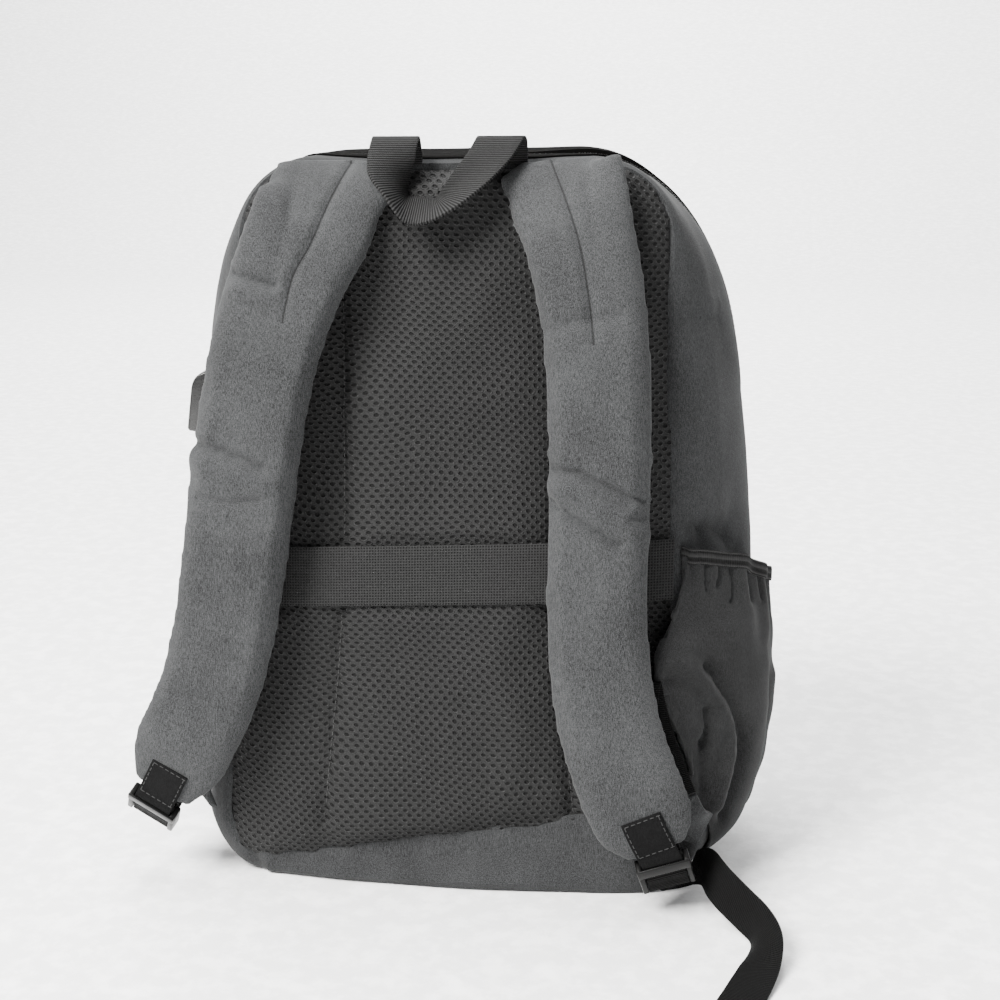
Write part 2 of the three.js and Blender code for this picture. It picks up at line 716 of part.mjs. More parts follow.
function ladderLock(frame) {
  const half = buckleWidth / 2;
  const corner = buckleCorner;
  const top = buckleBars[0].top;
  const foot = buckleBars[buckleBars.length - 1].foot;
  const shape = new THREE.Shape();
  shape.moveTo(-half + corner, foot);
  shape.lineTo(half - corner, foot);
  shape.quadraticCurveTo(half, foot, half, foot + corner);
  shape.lineTo(half, top - corner);
  shape.quadraticCurveTo(half, top, half - corner, top);
  shape.lineTo(-half + corner, top);
  shape.quadraticCurveTo(-half, top, -half, top - corner);
  shape.lineTo(-half, foot + corner);
  shape.quadraticCurveTo(-half, foot, -half + corner, foot);
  for (let i = 0; i + 1 < buckleBars.length; i++) {
    const hole = new THREE.Path();
    hole.moveTo(-buckleSlot / 2, buckleBars[i].foot);
    hole.lineTo(buckleSlot / 2, buckleBars[i].foot);
    hole.lineTo(buckleSlot / 2, buckleBars[i + 1].top);
    hole.lineTo(-buckleSlot / 2, buckleBars[i + 1].top);
    hole.closePath();
    shape.holes.push(hole);
  }
  const settings = { depth: buckleThick, bevelEnabled: false, curveSegments: 4 };
  const plate = new THREE.ExtrudeGeometry(shape, settings);
  return plate.translate(0, 0, -buckleThick / 2).applyMatrix4(frame);
}

// Rows in a buckle's frame as ribbon rows of the bag.
function inFrame(frame, rows) {
  const across = new THREE.Vector3().setFromMatrixColumn(frame, 0);
  return rows.map((row) => {
    const place = new THREE.Vector3(0, row.along, row.out).applyMatrix4(frame);
    return { ...place, wx: across.x, wy: across.y, wz: across.z };
  });
}

function strapWebbing(strapEnd, buckle, lead, tail) {
  const rows = [...lead, ...inFrame(strapEnd, behindStrap), ...inFrame(buckle, buckleThread), ...tail];
  return ribbonSolid(rows, webbingWidth, webbingThick, webbingSteps);
}

function strapTab(rows, buckle, hand) {
  const front = onStrap(rows, tabPlaces[hand], 1);
  const behind = onStrap(rows, tabBehindPlaces, -1);
  return ribbonSolid([...front, ...inFrame(buckle, tabLoop), ...behind], webbingWidth, tabThick, tabSteps);
}

function anchorWedge(rows) {
  return ribbonSolid(rows, strapColumn(rows, "half"), anchorThick, anchorSteps, true);
}

// Place round the outline of a height on the bag's right side.
function aroundAt(z, depth) {
  const section = bodySection(depth);
  const ends = outlineEnds;
  const footZ = Math.max(section.foot + section.tilt * section.footHalf, 0);
  const sideFoot = footZ + section.footRadius;
  const sideTop = section.top - section.topDrop;
  if (z >= sideFoot) return lerp(ends.footCorner, ends.side, (z - sideFoot) / (sideTop - sideFoot));
  const angle = Math.acos(THREE.MathUtils.clamp(1 - (z - footZ) / section.footRadius, -1, 1));
  return lerp(ends.foot, ends.footCorner, angle / (Math.PI / 2));
}

// How far the pocket stands off the bag's side; across runs back to front, up from its foot to its mouth.
const pocketSwell = curveOf(
  [
    { up: 0, share: 0 },
    { up: 0.12, share: 0.5 },
    { up: 0.35, share: 0.95 },
    { up: 0.6, share: 1 },
    { up: 0.85, share: 0.78 },
    { up: 1, share: 0.6 },
  ],
  "up",
  "share",
);

function pocketOff(across, up) {
  const spread = Math.max(Math.sin(Math.PI * across), 0) ** pocketRound;
  const gather = gatherRise * Math.cos(2 * Math.PI * pocketGathers * across) * smoothstep(up, 0.5, 1);
  return pocketSeat + spread * (pocketBulge * pocketSwell(up) + gather);
}

// The puff of the pocket's cloth beside the back panel.
function pocketShift(across, up) {
  const { x, y, reach, height } = pocketPuff;
  const near = ((across - pocketPuff.across) / reach) ** 2 + ((up - pocketPuff.up) / height) ** 2;
  const amount = Math.exp(-near) * smoothstep(across, 0, pocketPuff.across);
  return new THREE.Vector3(-x, -y, 0).multiplyScalar(amount);
}

// A wall round the pocket between two heights, given as shares of the way up.
function pocketWallSolid(ups, heightAt, outerAt, innerAt, shiftAt) {
  const rings = [];
  for (let i = 0; i <= pocketColumns; i++) {
    const across = (i / pocketColumns) ** columnCrowd;
    const depth = lerp(pocketBack, pocketFront, across);
    const wall = (up, out) => {
      const point = bodyAt(aroundAt(heightAt(up, across), depth), depth, out);
      return point.add(shiftAt(across, up));
    };
    const outer = ups.map((up) => wall(up, outerAt(across, up)));
    const inner = ups.map((up) => wall(up, innerAt(across, up)));
    rings.push([...outer, ...inner.reverse()]);
  }
  return loftSolid(rings);
}

const mouthAt = (across) => lerp(mouthAtBack, mouthAtFront, smoothstep(across, 0, 1));
const pocketFootAt = (across) => lerp(footAtBack, footAtFront, smoothstep(across, 0, 0.35));

function sidePocket() {
  const ups = [0, 0.06, 0.14, 0.23, 0.32, 0.41, 0.5, 0.6, 0.7, 0.8, 0.9, 1];
  const topAt = (across) => mouthAt(across) - bindingHeight - clearance;
  const heightAt = (up, across) => lerp(pocketFootAt(across), topAt(across), up);
  const inner = (across, up) => pocketOff(across, up);
  const outer = (across, up) => pocketOff(across, up) + pocketWall;
  return pocketWallSolid(ups, heightAt, outer, inner, pocketShift);
}

function pocketBinding() {
  const heightAt = (up, across) => mouthAt(across) - bindingHeight * (1 - up);
  const proud = (bindingThick - pocketWall) / 2;
  const inner = (across) => Math.max(pocketOff(across, 1) - proud, clearance);
  const outer = (across, up) => inner(across, up) + bindingThick;
  return pocketWallSolid([0, 0.5, 1], heightAt, outer, inner, (across) => pocketShift(across, 1));
}

// Port housing: a low block with a ramp on its upper end, flat against the bag's left side.
function usbPort() {
  const shape = new THREE.Shape();
  const foot = -portLength / 2;
  shape.moveTo(0, foot);
  shape.lineTo(portRise - portEdge, foot);
  shape.lineTo(portRise, foot + portEdge);
  shape.lineTo(portRise, portLength / 2 - portRamp);
  shape.quadraticCurveTo(portRise, portLength / 2 - portRamp / 4, 0, portLength / 2);
  shape.closePath();
  const block = new THREE.ExtrudeGeometry(shape, {
    depth: portWidth - 2 * portBevel.deep,
    bevelEnabled: true,
    bevelThickness: portBevel.deep,
    bevelSize: portBevel.side,
    bevelOffset: -portBevel.side,
    bevelSegments: 2,
    curveSegments: 6,
  });
  block.translate(0, 0, portBevel.deep - portWidth / 2);
  const depth = (portPlace.y - backY(portPlace.z)) / bagDepth(portPlace.z);
  const around = 2 - aroundAt(portPlace.z, depth);
  const seat = bodyAt(around, depth, clearance);
  const out = bodyAt(around, depth, 1).sub(bodyAt(around, depth, 0)).normalize();
  const up = new THREE.Vector3(0, 0, 1).addScaledVector(out, -out.z).normalize();
  const frame = new THREE.Matrix4().makeBasis(out, up, out.clone().cross(up)).setPosition(seat);
  return block.applyMatrix4(frame);
}

const backpack = new THREE.Group();

function addPiece(name, geometry, material) {
  const piece = new THREE.Mesh(geometry, material);
  piece.name = name;
  backpack.add(piece);
}

addPiece("bag_front", bagFront(), greyCloth);
addPiece("bag_rear", bagRear(), greyCloth);
addPiece("main_zip", mainZip(), zipTapeBlack);
addPiece("zip_slider", zipSlider(), sliderMetal);
addPiece("back_panel", backPanel(), blackMesh);
addPiece("luggage_band", luggageBand(), blackWebbing);
addPiece("handle", ribbonSolid(handleRows, handleWidth, handleThick, handleSteps), blackWebbing);
addPiece("side_pocket_right", sidePocket(), greyCloth);
addPiece("pocket_binding_right", pocketBinding(), blackWebbing);
addPiece("usb_port", usbPort(), portPlastic);

for (const hand of ["left", "right"]) {
  const rows = strapRows[hand];
  const strapEnd = strapEndFrame(rows, buckleFromStrap);
  const buckle = tilted(strapEnd, buckleTilt[hand]);
  const tail = hand === "left" ? inFrame(buckle, webbingRows.leftTail) : webbingRows.rightTail;
  addPiece(`strap_${hand}`, shoulderStrap(rows, hand === "left" ? 1 : -1), strapCloth);
  addPiece(`buckle_${hand}`, ladderLock(buckle), greyPlastic);
  addPiece(`strap_tab_${hand}`, strapTab(rows, buckle, hand), blackWebbing);
  addPiece(`webbing_${hand}`, strapWebbing(strapEnd, buckle, webbingRows[`${hand}Lead`], tail), blackWebbing);
  addPiece(`anchor_${hand}`, anchorWedge(anchorRows[hand]), strapCloth);
}

export default backpack;
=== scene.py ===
import bisect
import math

import bmesh
import bpy
import numpy as np
from mathutils import Matrix, Vector, noise


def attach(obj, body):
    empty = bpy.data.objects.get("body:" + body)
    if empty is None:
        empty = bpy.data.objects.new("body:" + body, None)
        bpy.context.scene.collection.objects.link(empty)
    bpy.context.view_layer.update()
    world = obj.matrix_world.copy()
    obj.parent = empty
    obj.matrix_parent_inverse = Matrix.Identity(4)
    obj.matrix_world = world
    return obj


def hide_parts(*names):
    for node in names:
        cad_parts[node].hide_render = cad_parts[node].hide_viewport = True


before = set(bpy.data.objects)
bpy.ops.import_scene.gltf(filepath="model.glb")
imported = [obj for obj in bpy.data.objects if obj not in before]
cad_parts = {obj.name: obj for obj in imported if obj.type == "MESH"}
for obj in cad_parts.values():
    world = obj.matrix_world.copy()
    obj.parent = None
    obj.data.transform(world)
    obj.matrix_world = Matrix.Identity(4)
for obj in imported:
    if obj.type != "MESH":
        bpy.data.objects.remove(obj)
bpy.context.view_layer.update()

scene = bpy.context.scene
mm = 0.001  # the tables below are in millimetres
print("frame loaded,", len(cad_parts), "nodes")

# camera at the photograph's angle
photoView = {
    "target": (31.33, -60, 247),
    "distance": 969.07,
    "azimuth": 8,
    "elevation": 14,
    "roll": -0.43,
    "lens": 57.6,
    "sensor": 36,
    "near": 0.01,
}


def axesAt(spot, x, y, z):  # a frame at a spot, from its three directions
    return Matrix.Translation(spot) @ Matrix((x, y, z)).transposed().to_4x4()


def placeCamera(view):
    turn = math.radians(view["azimuth"])
    lift = math.radians(view["elevation"])
    roll = math.radians(view["roll"])
    back = Vector((math.sin(turn) * math.cos(lift), -math.cos(turn) * math.cos(lift), math.sin(lift)))
    right = (-back).cross(Vector((0, 0, 1))).normalized()
    up = right.cross(-back)
    across = right * math.cos(roll) + up * math.sin(roll)
    above = up * math.cos(roll) - right * math.sin(roll)
    spot = (Vector(view["target"]) + back * view["distance"]) * mm
    lens = bpy.data.cameras.new("photoCamera")
    lens.lens = view["lens"]
    lens.sensor_width = view["sensor"]
    lens.sensor_fit = "HORIZONTAL"
    lens.clip_start = view["near"]
    camera = bpy.data.objects.new("photoCamera", lens)
    camera.matrix_world = axesAt(spot, across, above, back)
    scene.collection.objects.link(camera)
    scene.camera = camera


placeCamera(photoView)

# sums that every piece uses


def lerp(a, b, share):
    return a + (b - a) * share


def smoothstep(value, low, high):
    share = min(max((value - low) / (high - low), 0), 1)
    return share * share * (3 - 2 * share)


def columnCurve(rows, column):  # smooth curve through one column, along the first one
    at = [row[0] for row in rows]
    value = [row[column] for row in rows]
    last = len(rows) - 1
    slope = []
    for i in range(len(rows)):
        before, after = max(i - 1, 0), min(i + 1, last)
        slope.append((value[after] - value[before]) / (at[after] - at[before]))

    def curve(place):
        i = min(max(bisect.bisect_right(at, place) - 1, 0), last - 1)
        span = at[i + 1] - at[i]
        s = (place - at[i]) / span
        pull = s * (1 - s) * span * (slope[i] * (1 - s) - slope[i + 1] * s)
        return lerp(value[i], value[i + 1], s * s * (3 - 2 * s)) + pull

    return curve


def pathPoint(points, share):  # centripetal curve through the points
    last = len(points) - 1
    i = min(int(share * last), last - 1)
    t = share * last - i
    p1, p2 = points[i], points[i + 1]
    p0 = points[i - 1] if i > 0 else p1 * 2 - p2
    p3 = points[i + 2] if i + 2 <= last else p2 * 2 - p1
    d0 = max((p1 - p0).length, 1e-6) ** 0.5
    d1 = max((p2 - p1).length, 1e-6) ** 0.5
    d2 = max((p3 - p2).length, 1e-6) ** 0.5
    t1 = ((p1 - p0) / d0 - (p2 - p0) / (d0 + d1) + (p2 - p1) / d1) * d1
    t2 = ((p2 - p1) / d1 - (p3 - p1) / (d1 + d2) + (p3 - p2) / d2) * d1
    return p1 + t1 * t + (p2 * 3 - p1 * 3 - t1 * 2 - t2) * t * t + (p1 * 2 - p2 * 2 + t1 + t2) * t * t * t


def pathTangent(points, share):
    step = 1e-4
    return (pathPoint(points, min(share + step, 1)) - pathPoint(points, max(share - step, 0))).normalized()


def lengthsAlong(points):  # the line's length up to each of its points
    run = [0]
    for a, b in zip(points, points[1:]):
        run.append(run[-1] + (b - a).length)
    return run


def placeAt(run, length):  # the place at a length, counted in points
    k = min(bisect.bisect_right(run, length) - 1, len(run) - 2)
    return k + (length - run[k]) / max(run[k + 1] - run[k], 1e-9)


# meshes and pieces


def layGrid(steps, place, uvAt=None):  # a grid whose points go where place says, in millimetres
    bm = bmesh.new()
    bmesh.ops.create_grid(bm, x_segments=steps[0], y_segments=steps[1], size=0.5)
    weave = bm.loops.layers.uv.new("weave")
    if uvAt:
        for face in bm.faces:
            for loop in face.loops:
                loop[weave].uv = uvAt(loop.vert.co.x + 0.5, loop.vert.co.y + 0.5)
    for vert in bm.verts:
        vert.co = place(vert.co.x + 0.5, vert.co.y + 0.5) * mm
    bmesh.ops.remove_doubles(bm, verts=bm.verts, dist=1e-6)
    bm.normal_update()
    return bm


def faceAway(bm, inside):  # turn the faces away from a point inside
    middle = Vector(inside) * mm
    lean = sum((face.calc_center_median() - middle).dot(face.normal) * face.calc_area() for face in bm.faces)
    if lean < 0:
        bmesh.ops.reverse_faces(bm, faces=bm.faces)
    bm.normal_update()


def pushOut(bm, moves):  # along the normals, in millimetres
    for vert, amount in zip(bm.verts, moves):
        vert.co += vert.normal * float(amount) * mm
    bm.normal_update()


def smoothOut(bm, verts, times):
    for _ in range(times):
        bmesh.ops.smooth_vert(bm, verts=verts, factor=0.5, use_axis_x=True, use_axis_y=True, use_axis_z=True)


foldForm = {"steps": 6, "round": 2, "sharp": 1.4}


def pressFolds(bm, folds):  # width, rise and a line of points for each fold; hollows are sharper
    bm.normal_update()
    points = np.array([vert.co for vert in bm.verts]) / mm
    move = np.zeros(len(points))
    for width, rise, line in folds:
        nearest = np.full(len(points), 1e9)
        ends = [np.array(point, float) for point in line]
        steps = foldForm["steps"]
        ends = [lerp(a, b, k / steps) for a, b in zip(ends, ends[1:]) for k in range(steps)] + ends[-1:]
        ends = [points[np.argmin(np.linalg.norm(points - end, axis=1))] for end in ends]  # onto the cloth
        for a, b in zip(ends, ends[1:]):
            share = np.clip((points - a) @ (b - a) / max((b - a) @ (b - a), 1e-9), 0, 1)
            nearest = np.minimum(nearest, np.linalg.norm(points - a - share[:, None] * (b - a), axis=1))
        move += rise * np.exp(-((nearest / width) ** foldForm["round" if rise > 0 else "sharp"]))
    pushOut(bm, move)


def ruffle(bm, layers, seed=0, backOnly=False):  # soft unevenness: size and rise of each layer
    bm.normal_update()
    moves = []
    for vert in bm.verts:
        place = vert.co / mm
        rises = [rise * noise.noise(place / size + Vector((seed, 7 * i, 3))) for i, (size, rise) in enumerate(layers)]
        moves.append(sum(rises) * (max(-vert.normal.y, 0) ** 2 if backOnly else 1))
    pushOut(bm, moves)


def linkMesh(name, bm):
    mesh = bpy.data.meshes.new(name)
    bm.to_mesh(mesh)
    bm.free()
    mesh.shade_smooth()
    made = bpy.data.objects.new(name, mesh)
    scene.collection.objects.link(made)
    return made


def meshOf(piece):
    bm = bmesh.new()
    bm.from_mesh(piece.data)
    return bm


def addPiece(name, bm, finish, slot, *nodes):
    piece = linkMesh(name, bm)
    piece.data.materials.append(finish)
    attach(piece, "root")
    if nodes:
        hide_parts(*nodes)
    return piece


def thicken(piece, thick, offset):
    solid = piece.modifiers.new("thickness", "SOLIDIFY")
    solid.thickness = thick * mm
    solid.offset = offset
    solid.use_even_offset = False


def crisp(piece, angle):  # keep the edges over this angle hard
    piece.data.set_sharp_from_angle(angle=math.radians(angle))


def settle(piece, angle=40):  # apply the modifiers
    bpy.context.view_layer.update()
    graph = bpy.context.evaluated_depsgraph_get()
    mesh = bpy.data.meshes.new_from_object(piece.evaluated_get(graph))
    piece.modifiers.clear()
    piece.data = mesh
    mesh.shade_smooth()
    crisp(piece, angle)


def copyNode(node):  # a merged copy of a CAD node's mesh
    bm = meshOf(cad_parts[node])
    bmesh.ops.remove_doubles(bm, verts=bm.verts, dist=1e-5)
    bm.normal_update()
    return bm


# shader sums


class Wire:  # one shader socket that can be used in sums
    def __init__(self, tree, socket=None):
        self.tree = tree
        self.socket = socket

    def node(self, kind, settings=None, sockets=None, out=0):
        made = self.tree.nodes.new("ShaderNode" + kind)
        for name, value in (settings or {}).items():
            if name == "stops":
                while len(made.color_ramp.elements) < len(value):
                    made.color_ramp.elements.new(1)
                for stop, (at, shade) in zip(made.color_ramp.elements, value):
                    stop.position = at
                    stop.color = (shade, shade, shade, 1)
            else:
                setattr(made, name, value)
        for name, value in (sockets or {}).items():
            if isinstance(value, Wire):
                self.tree.links.new(value.socket, made.inputs[name])
            else:
                made.inputs[name].default_value = value
        return Wire(self.tree, made.outputs[out])

    def beside(self, name):  # another output of the same node
        return Wire(self.tree, self.socket.node.outputs[name])

    def maths(self, operation, *others):
        return self.node("Math", {"operation": operation}, dict(enumerate((self, *others))))

    def clamp(self):
        return self.node("Math", {"operation": "ADD", "use_clamp": True}, {0: self, 1: 0.0})

    def __add__(self, other):
        return self.maths("ADD", other)

    def __sub__(self, other):
        return self.maths("SUBTRACT", other)

    def __rsub__(self, other):
        return self.node("Math", {"operation": "SUBTRACT"}, {0: other, 1: self})

    def __mul__(self, other):
        return self.maths("MULTIPLY", other)

    def __truediv__(self, other):
        return self.maths("DIVIDE", other)

    __radd__ = __add__


class Finish:  # a material with its shader and the places that patterns read
    def __init__(self, name, **fixed):
        self.material = bpy.data.materials.new(name)
        self.material.use_nodes = True
        self.tree = self.material.node_tree
        self.shader = self.tree.nodes["Principled BSDF"]
        self.wire = Wire(self.tree)
        for socket, value in fixed.items():
            self.shader.inputs[socket.replace("_", " ")].default_value = value

    def place(self):
        return self.wire.node("TexCoord", out="Object")

    def split(self, vector):  # its X, with Y and Z beside it
        return self.wire.node("SeparateXYZ", None, {0: vector}, out="X")

    def weave(self):
        return self.split(self.wire.node("UVMap", {"uv_map": "weave"}))

    def grain(self, scale, detail=2.0, rough=0.5, place=None):
        spot = self.wire.node("Mapping", None, {"Vector": place or self.place(), "Scale": scale})
        sockets = {"Vector": spot, "Scale": 1.0, "Detail": detail, "Roughness": rough}
        return self.wire.node("TexNoise", None, sockets, out="Fac")

    def blend(self, share, low, high):
        low, high = ((*c, 1) if isinstance(c, tuple) else c for c in (low, high))
        return self.wire.node("Mix", {"data_type": "RGBA"}, {0: share, 6: low, 7: high}, out=2)

    def dress(self, colour, rough, height, strength, distance):  # what varies over the surface
        normal = self.wire.node("Bump", None, {"Height": height, "Strength": strength, "Distance": distance})
        for socket, value in (("Base Color", colour), ("Roughness", rough), ("Normal", normal)):
            self.tree.links.new(value.socket, self.shader.inputs[socket])
        return self.material

    def dressWeave(self, look, shade, rough, height, strength, distance):  # from its dark to its pale yarn
        colour = self.blend(shade, grey(look["dark"]), grey(look["pale"]))
        return self.dress(colour, rough, height, strength, distance)


def grey(value, tint=0.0):  # a grey, a touch cooler with more tint
    return (value * (1 - tint), value, value * (1 + tint))


def ribs(coordinate, pitch):  # a wave from 0 to 1 along a coordinate
    return (coordinate * (2 * math.pi / pitch)).maths("COSINE") * 0.5 + 0.5


# heather cloth: pale and dark yarns spun together, streaked along the height
bagCloth = {"dark": 0.006, "pale": 0.042, "tint": 0.03, "rough": 0.92}
strapCloth = {"dark": 0.006, "pale": 0.053, "tint": 0.03, "rough": 0.92}
# the bag's cloth, made darker for painted shade on the pocket's side of the bag
shadedPocketCloth = {"dark": 0.0035, "pale": 0.024, "tint": 0.02, "rough": 0.92}
# the zip flaps: a darker band cloth, made darker still for painted shade on the bag's top
shadedFlapCloth = {"dark": 0.0012, "pale": 0.005, "tint": -0.03, "rough": 0.95, "shine": 0.02, "sheen": 0.0}
tabCloth = {"dark": 0.0006, "pale": 0.006, "tint": 0.02, "rough": 0.85, "shine": 0.08, "sheen": 0.0}
heather = {
    "shine": 0.12,
    "sheen": 0.05,
    "thread": 1.1,
    # size of each grain per metre, and its weight in the mix of yarns
    "streak": ((2700, 2700, 300), 1.7),
    "yarn": ((3200, 3200, 2200), 2.0),
    "cloud": ((26, 26, 20), 0.6),
    "mix": 0.46,
    "bump": (0.2, 0.0004),  # strength and distance
}


def heatherCloth(name, cloth, dart=None):
    look = {**heather, **cloth}
    finish = Finish(name, Sheen_Weight=look["sheen"], Sheen_Roughness=0.5, Specular_IOR_Level=look["shine"])
    place = finish.place()
    streak = finish.grain(look["streak"][0], 2.0, 0.6, place)
    yarn = finish.grain(look["yarn"][0], 1.0, 0.5, place)
    cloud = finish.grain(look["cloud"][0], 3.0, 0.55, place)
    share = (streak - 0.5) * look["streak"][1] + (yarn - 0.5) * look["yarn"][1]
    share = (share + (cloud - 0.5) * look["cloud"][1] + look["mix"]).clamp()
    colour = finish.blend(share, grey(look["dark"], look["tint"]), grey(look["pale"], look["tint"]))
    axis = finish.split(place)
    level = axis + axis.beside("Y") * 0.9
    thread = look["thread"] * mm
    height = ribs(level, thread) * ribs(axis.beside("Z"), thread) * 0.7 + yarn * 0.5 + streak * 0.2
    if dart:  # a sewn line, read from the piece's own map
        off = finish.weave()
        line = 1 - (off.maths("ABSOLUTE") / dart["width"]).clamp()
        line = line * (off.beside("Y") - dart["foot"]).maths("GREATER_THAN", 0.0)
        height = height - line * dart["deep"]
        # painted shade along the dart's sewn groove
        colour = finish.blend(line * dart["shade"], colour, grey(look["dark"] * dart["dark"]))
    return finish.dress(colour, look["rough"] + (yarn - 0.5) * 0.1, height, *look["bump"])


# open spacer mesh: staggered holes in a paler knit
meshCloth = {
    "holeStep": 6.0,
    "rowStep": 3.1,
    # the holes' near-black is partly painted shade inside the openings
    "yarn": 0.025,
    "hole": 0.0003,
    # the rows wander with the stretch: grain per metre, and reach in metres
    "drift": (9, 0.03),
    "wander": (55, 0.0024),
    "slant": 0.25,
    "holeEdge": (0.36, 3.2),  # place and sharpness
    # lip: a painted highlight on the raised edge below each hole
    "lip": (0.78, 4.0),  # the lit edge below each hole
    "twist": (1500, 1500, 1500),
    # glint: the grain of the painted glints on the lit edges
    "glint": (230, 230, 420),
    "bump": (1.0, 0.0014),  # strength and distance
}


def openMesh(name, cloth):
    finish = Finish(name, Specular_IOR_Level=0.16)
    place = finish.place()
    axis = finish.split(place)

    def sway(size, reach):
        return (finish.grain((size, size, size), 1.0, 0.5, place) - 0.5) * reach

    drift = sway(*cloth["drift"])
    wander = sway(*cloth["wander"]) + drift
    row = (axis.beside("Z") + wander) / (cloth["rowStep"] * mm)
    odd = (row.maths("FLOOR") * 0.5).maths("FRACT")
    column = (axis + axis.beside("Y") * 0.35 + wander * 0.4) / (cloth["holeStep"] * mm) + odd
    across = (column.maths("FRACT") - 0.5) * 2.0
    along = (row.maths("FRACT") - 0.5) * 2.0 + across * cloth["slant"]
    away = (across * across * 1.5 + along * along * 0.75).maths("SQRT")
    edge, sharp = cloth["holeEdge"]
    hole = 1 - ((away - edge) * sharp).clamp()
    edge, sharp = cloth["lip"]
    lip = 1 - ((away - edge).maths("ABSOLUTE") * sharp).clamp()
    lip = lip * along.maths("LESS_THAN", 0.0)
    twist = finish.grain(cloth["twist"], 2.0, 0.6, place)
    glint = ((finish.grain(cloth["glint"], 1.0, 0.5, place) - 0.5) * 5.0).clamp()
    # painted highlight: the lit edges and their glints are paler; painted shade: the holes are near-black
    shade = ((1 - hole) * (twist * 0.8 + 0.05) + lip * (glint * 0.6 + 0.2)).clamp()
    colour = finish.blend(shade, grey(cloth["hole"]), grey(cloth["yarn"]))
    rough = 0.75 - lip * 0.2 - glint * lip * 0.15
    height = twist * 0.25 + lip * 0.4 - hole
    return finish.dress(colour, rough, height, *cloth["bump"])


# ribbed webbing, read along its own length
webbing = {"rib": 1.35, "twill": 1.1, "dark": 0.0002, "pale": 0.006}
handleWeave = {"rib": 1.35, "twill": 1.1, "dark": 0.0012, "pale": 0.028}


def ribbedWebbing(name, look):
    finish = Finish(name, Specular_IOR_Level=0.06)
    along = finish.weave()
    across = along.beside("Y")
    fuzz = finish.grain((1300, 1300, 1300), 2.0, 0.6)
    wave = (fuzz - 0.5) * 0.0003
    rib = ribs(along + wave, look["rib"] * mm)
    twill = ribs(across + along * 0.5, look["twill"] * mm)
    shade = (rib * 0.75 + twill * 0.2 + (fuzz - 0.5) * 0.5).clamp()
    height = rib + twill * 0.25 + fuzz * 0.2
    return finish.dressWeave(look, shade, 0.82 - shade * 0.25, height, 0.8, 0.0005)


# luggage band: a fine square weave
band = {"cell": 1.75, "dark": 0.0002, "pale": 0.022}


def squareWeave(name, look):
    finish = Finish(name, Specular_IOR_Level=0.1, Sheen_Weight=0.01)
    along = finish.weave()
    across = along.beside("Y")
    fuzz = finish.grain((900, 900, 900), 2.0, 0.6)
    cell = ribs(along, look["cell"] * mm).maths("MAXIMUM", ribs(across, look["cell"] * mm))
    shade = (cell * 0.8 + (fuzz - 0.5) * 0.7).clamp()
    return finish.dressWeave(look, shade, 0.9 - shade * 0.2, cell + fuzz * 0.3, 0.7, 0.0005)


def ribbedElastic(name, look):  # ribs run along the length
    finish = Finish(name, Specular_IOR_Level=0.1, Sheen_Weight=0.01)
    along = finish.weave()
    across = along.beside("Y")
    fuzz = finish.grain((1100, 1100, 1100), 2.0, 0.6)
    rib = ribs(across, look["rib"] * mm)
    purl = ribs(along, look["purl"] * mm)
    shade = (rib * 0.7 + purl * 0.2 + (fuzz - 0.5) * 0.5).clamp()
    return finish.dressWeave(look, shade, 0.9 - shade * 0.15, rib + purl * 0.3, 0.8, 0.0007)


def mouldedPlastic(name, shade, rough, metal=0.0, shine=0.5):
    finish = Finish(name, Specular_IOR_Level=shine, Metallic=metal)
    speckle = finish.grain((1800, 1800, 1800), 2.0, 0.6)
    scuff = finish.grain((60, 60, 260), 4.0, 0.7)
    colour = finish.blend(((scuff - 0.45) * 1.6).clamp(), grey(shade), grey(shade * 1.7))
    return finish.dress(colour, rough + (scuff - 0.5) * 0.3, speckle, 0.25, 0.0002)


def sewingThread(name, shade):
    finish = Finish(name, Specular_IOR_Level=0.4)
    twist = finish.grain((2600, 2600, 2600), 2.0, 0.6)
    colour = finish.blend(twist, grey(shade * 0.5), grey(shade * 1.5))
    return finish.dress(colour, 0.6 + twist * 0.2, twist, 0.5, 0.0003)


elastic = {"rib": 2.6, "purl": 1.2, "dark": 0.0006, "pale": 0.028}
zipTape = {"rib": 1.0, "twill": 1.1, "dark": 0.002, "pale": 0.01}
greyFinish = heatherCloth("greyHeather", bagCloth)
shadedPocketFinish = heatherCloth("shadedPocketHeather", shadedPocketCloth)
meshFinish = openMesh("blackMesh", meshCloth)
webbingFinish = ribbedWebbing("blackWebbing", webbing)
handleFinish = ribbedWebbing("handleWebbing", handleWeave)
bandFinish = squareWeave("blackBand", band)
elasticFinish = ribbedElastic("blackElastic", elastic)
zipFinish = ribbedWebbing("zipTape", zipTape)
plasticFinish = mouldedPlastic("bucklePlastic", shade=0.004, rough=0.34, shine=0.08)
portFinish = mouldedPlastic("portPlastic", shade=0.006, rough=0.25)
sliderFinish = mouldedPlastic("sliderMetal", shade=0.05, rough=0.35, metal=0.8)
teethFinish = mouldedPlastic("zipTeeth", shade=0.006, rough=0.45)
threadFinish = sewingThread("blackThread", shade=0.012)
shadedFlapFinish = heatherCloth("shadedFlapHeather", shadedFlapCloth)
greyThread = sewingThread("greyThread", shade=0.022)
print("materials made")

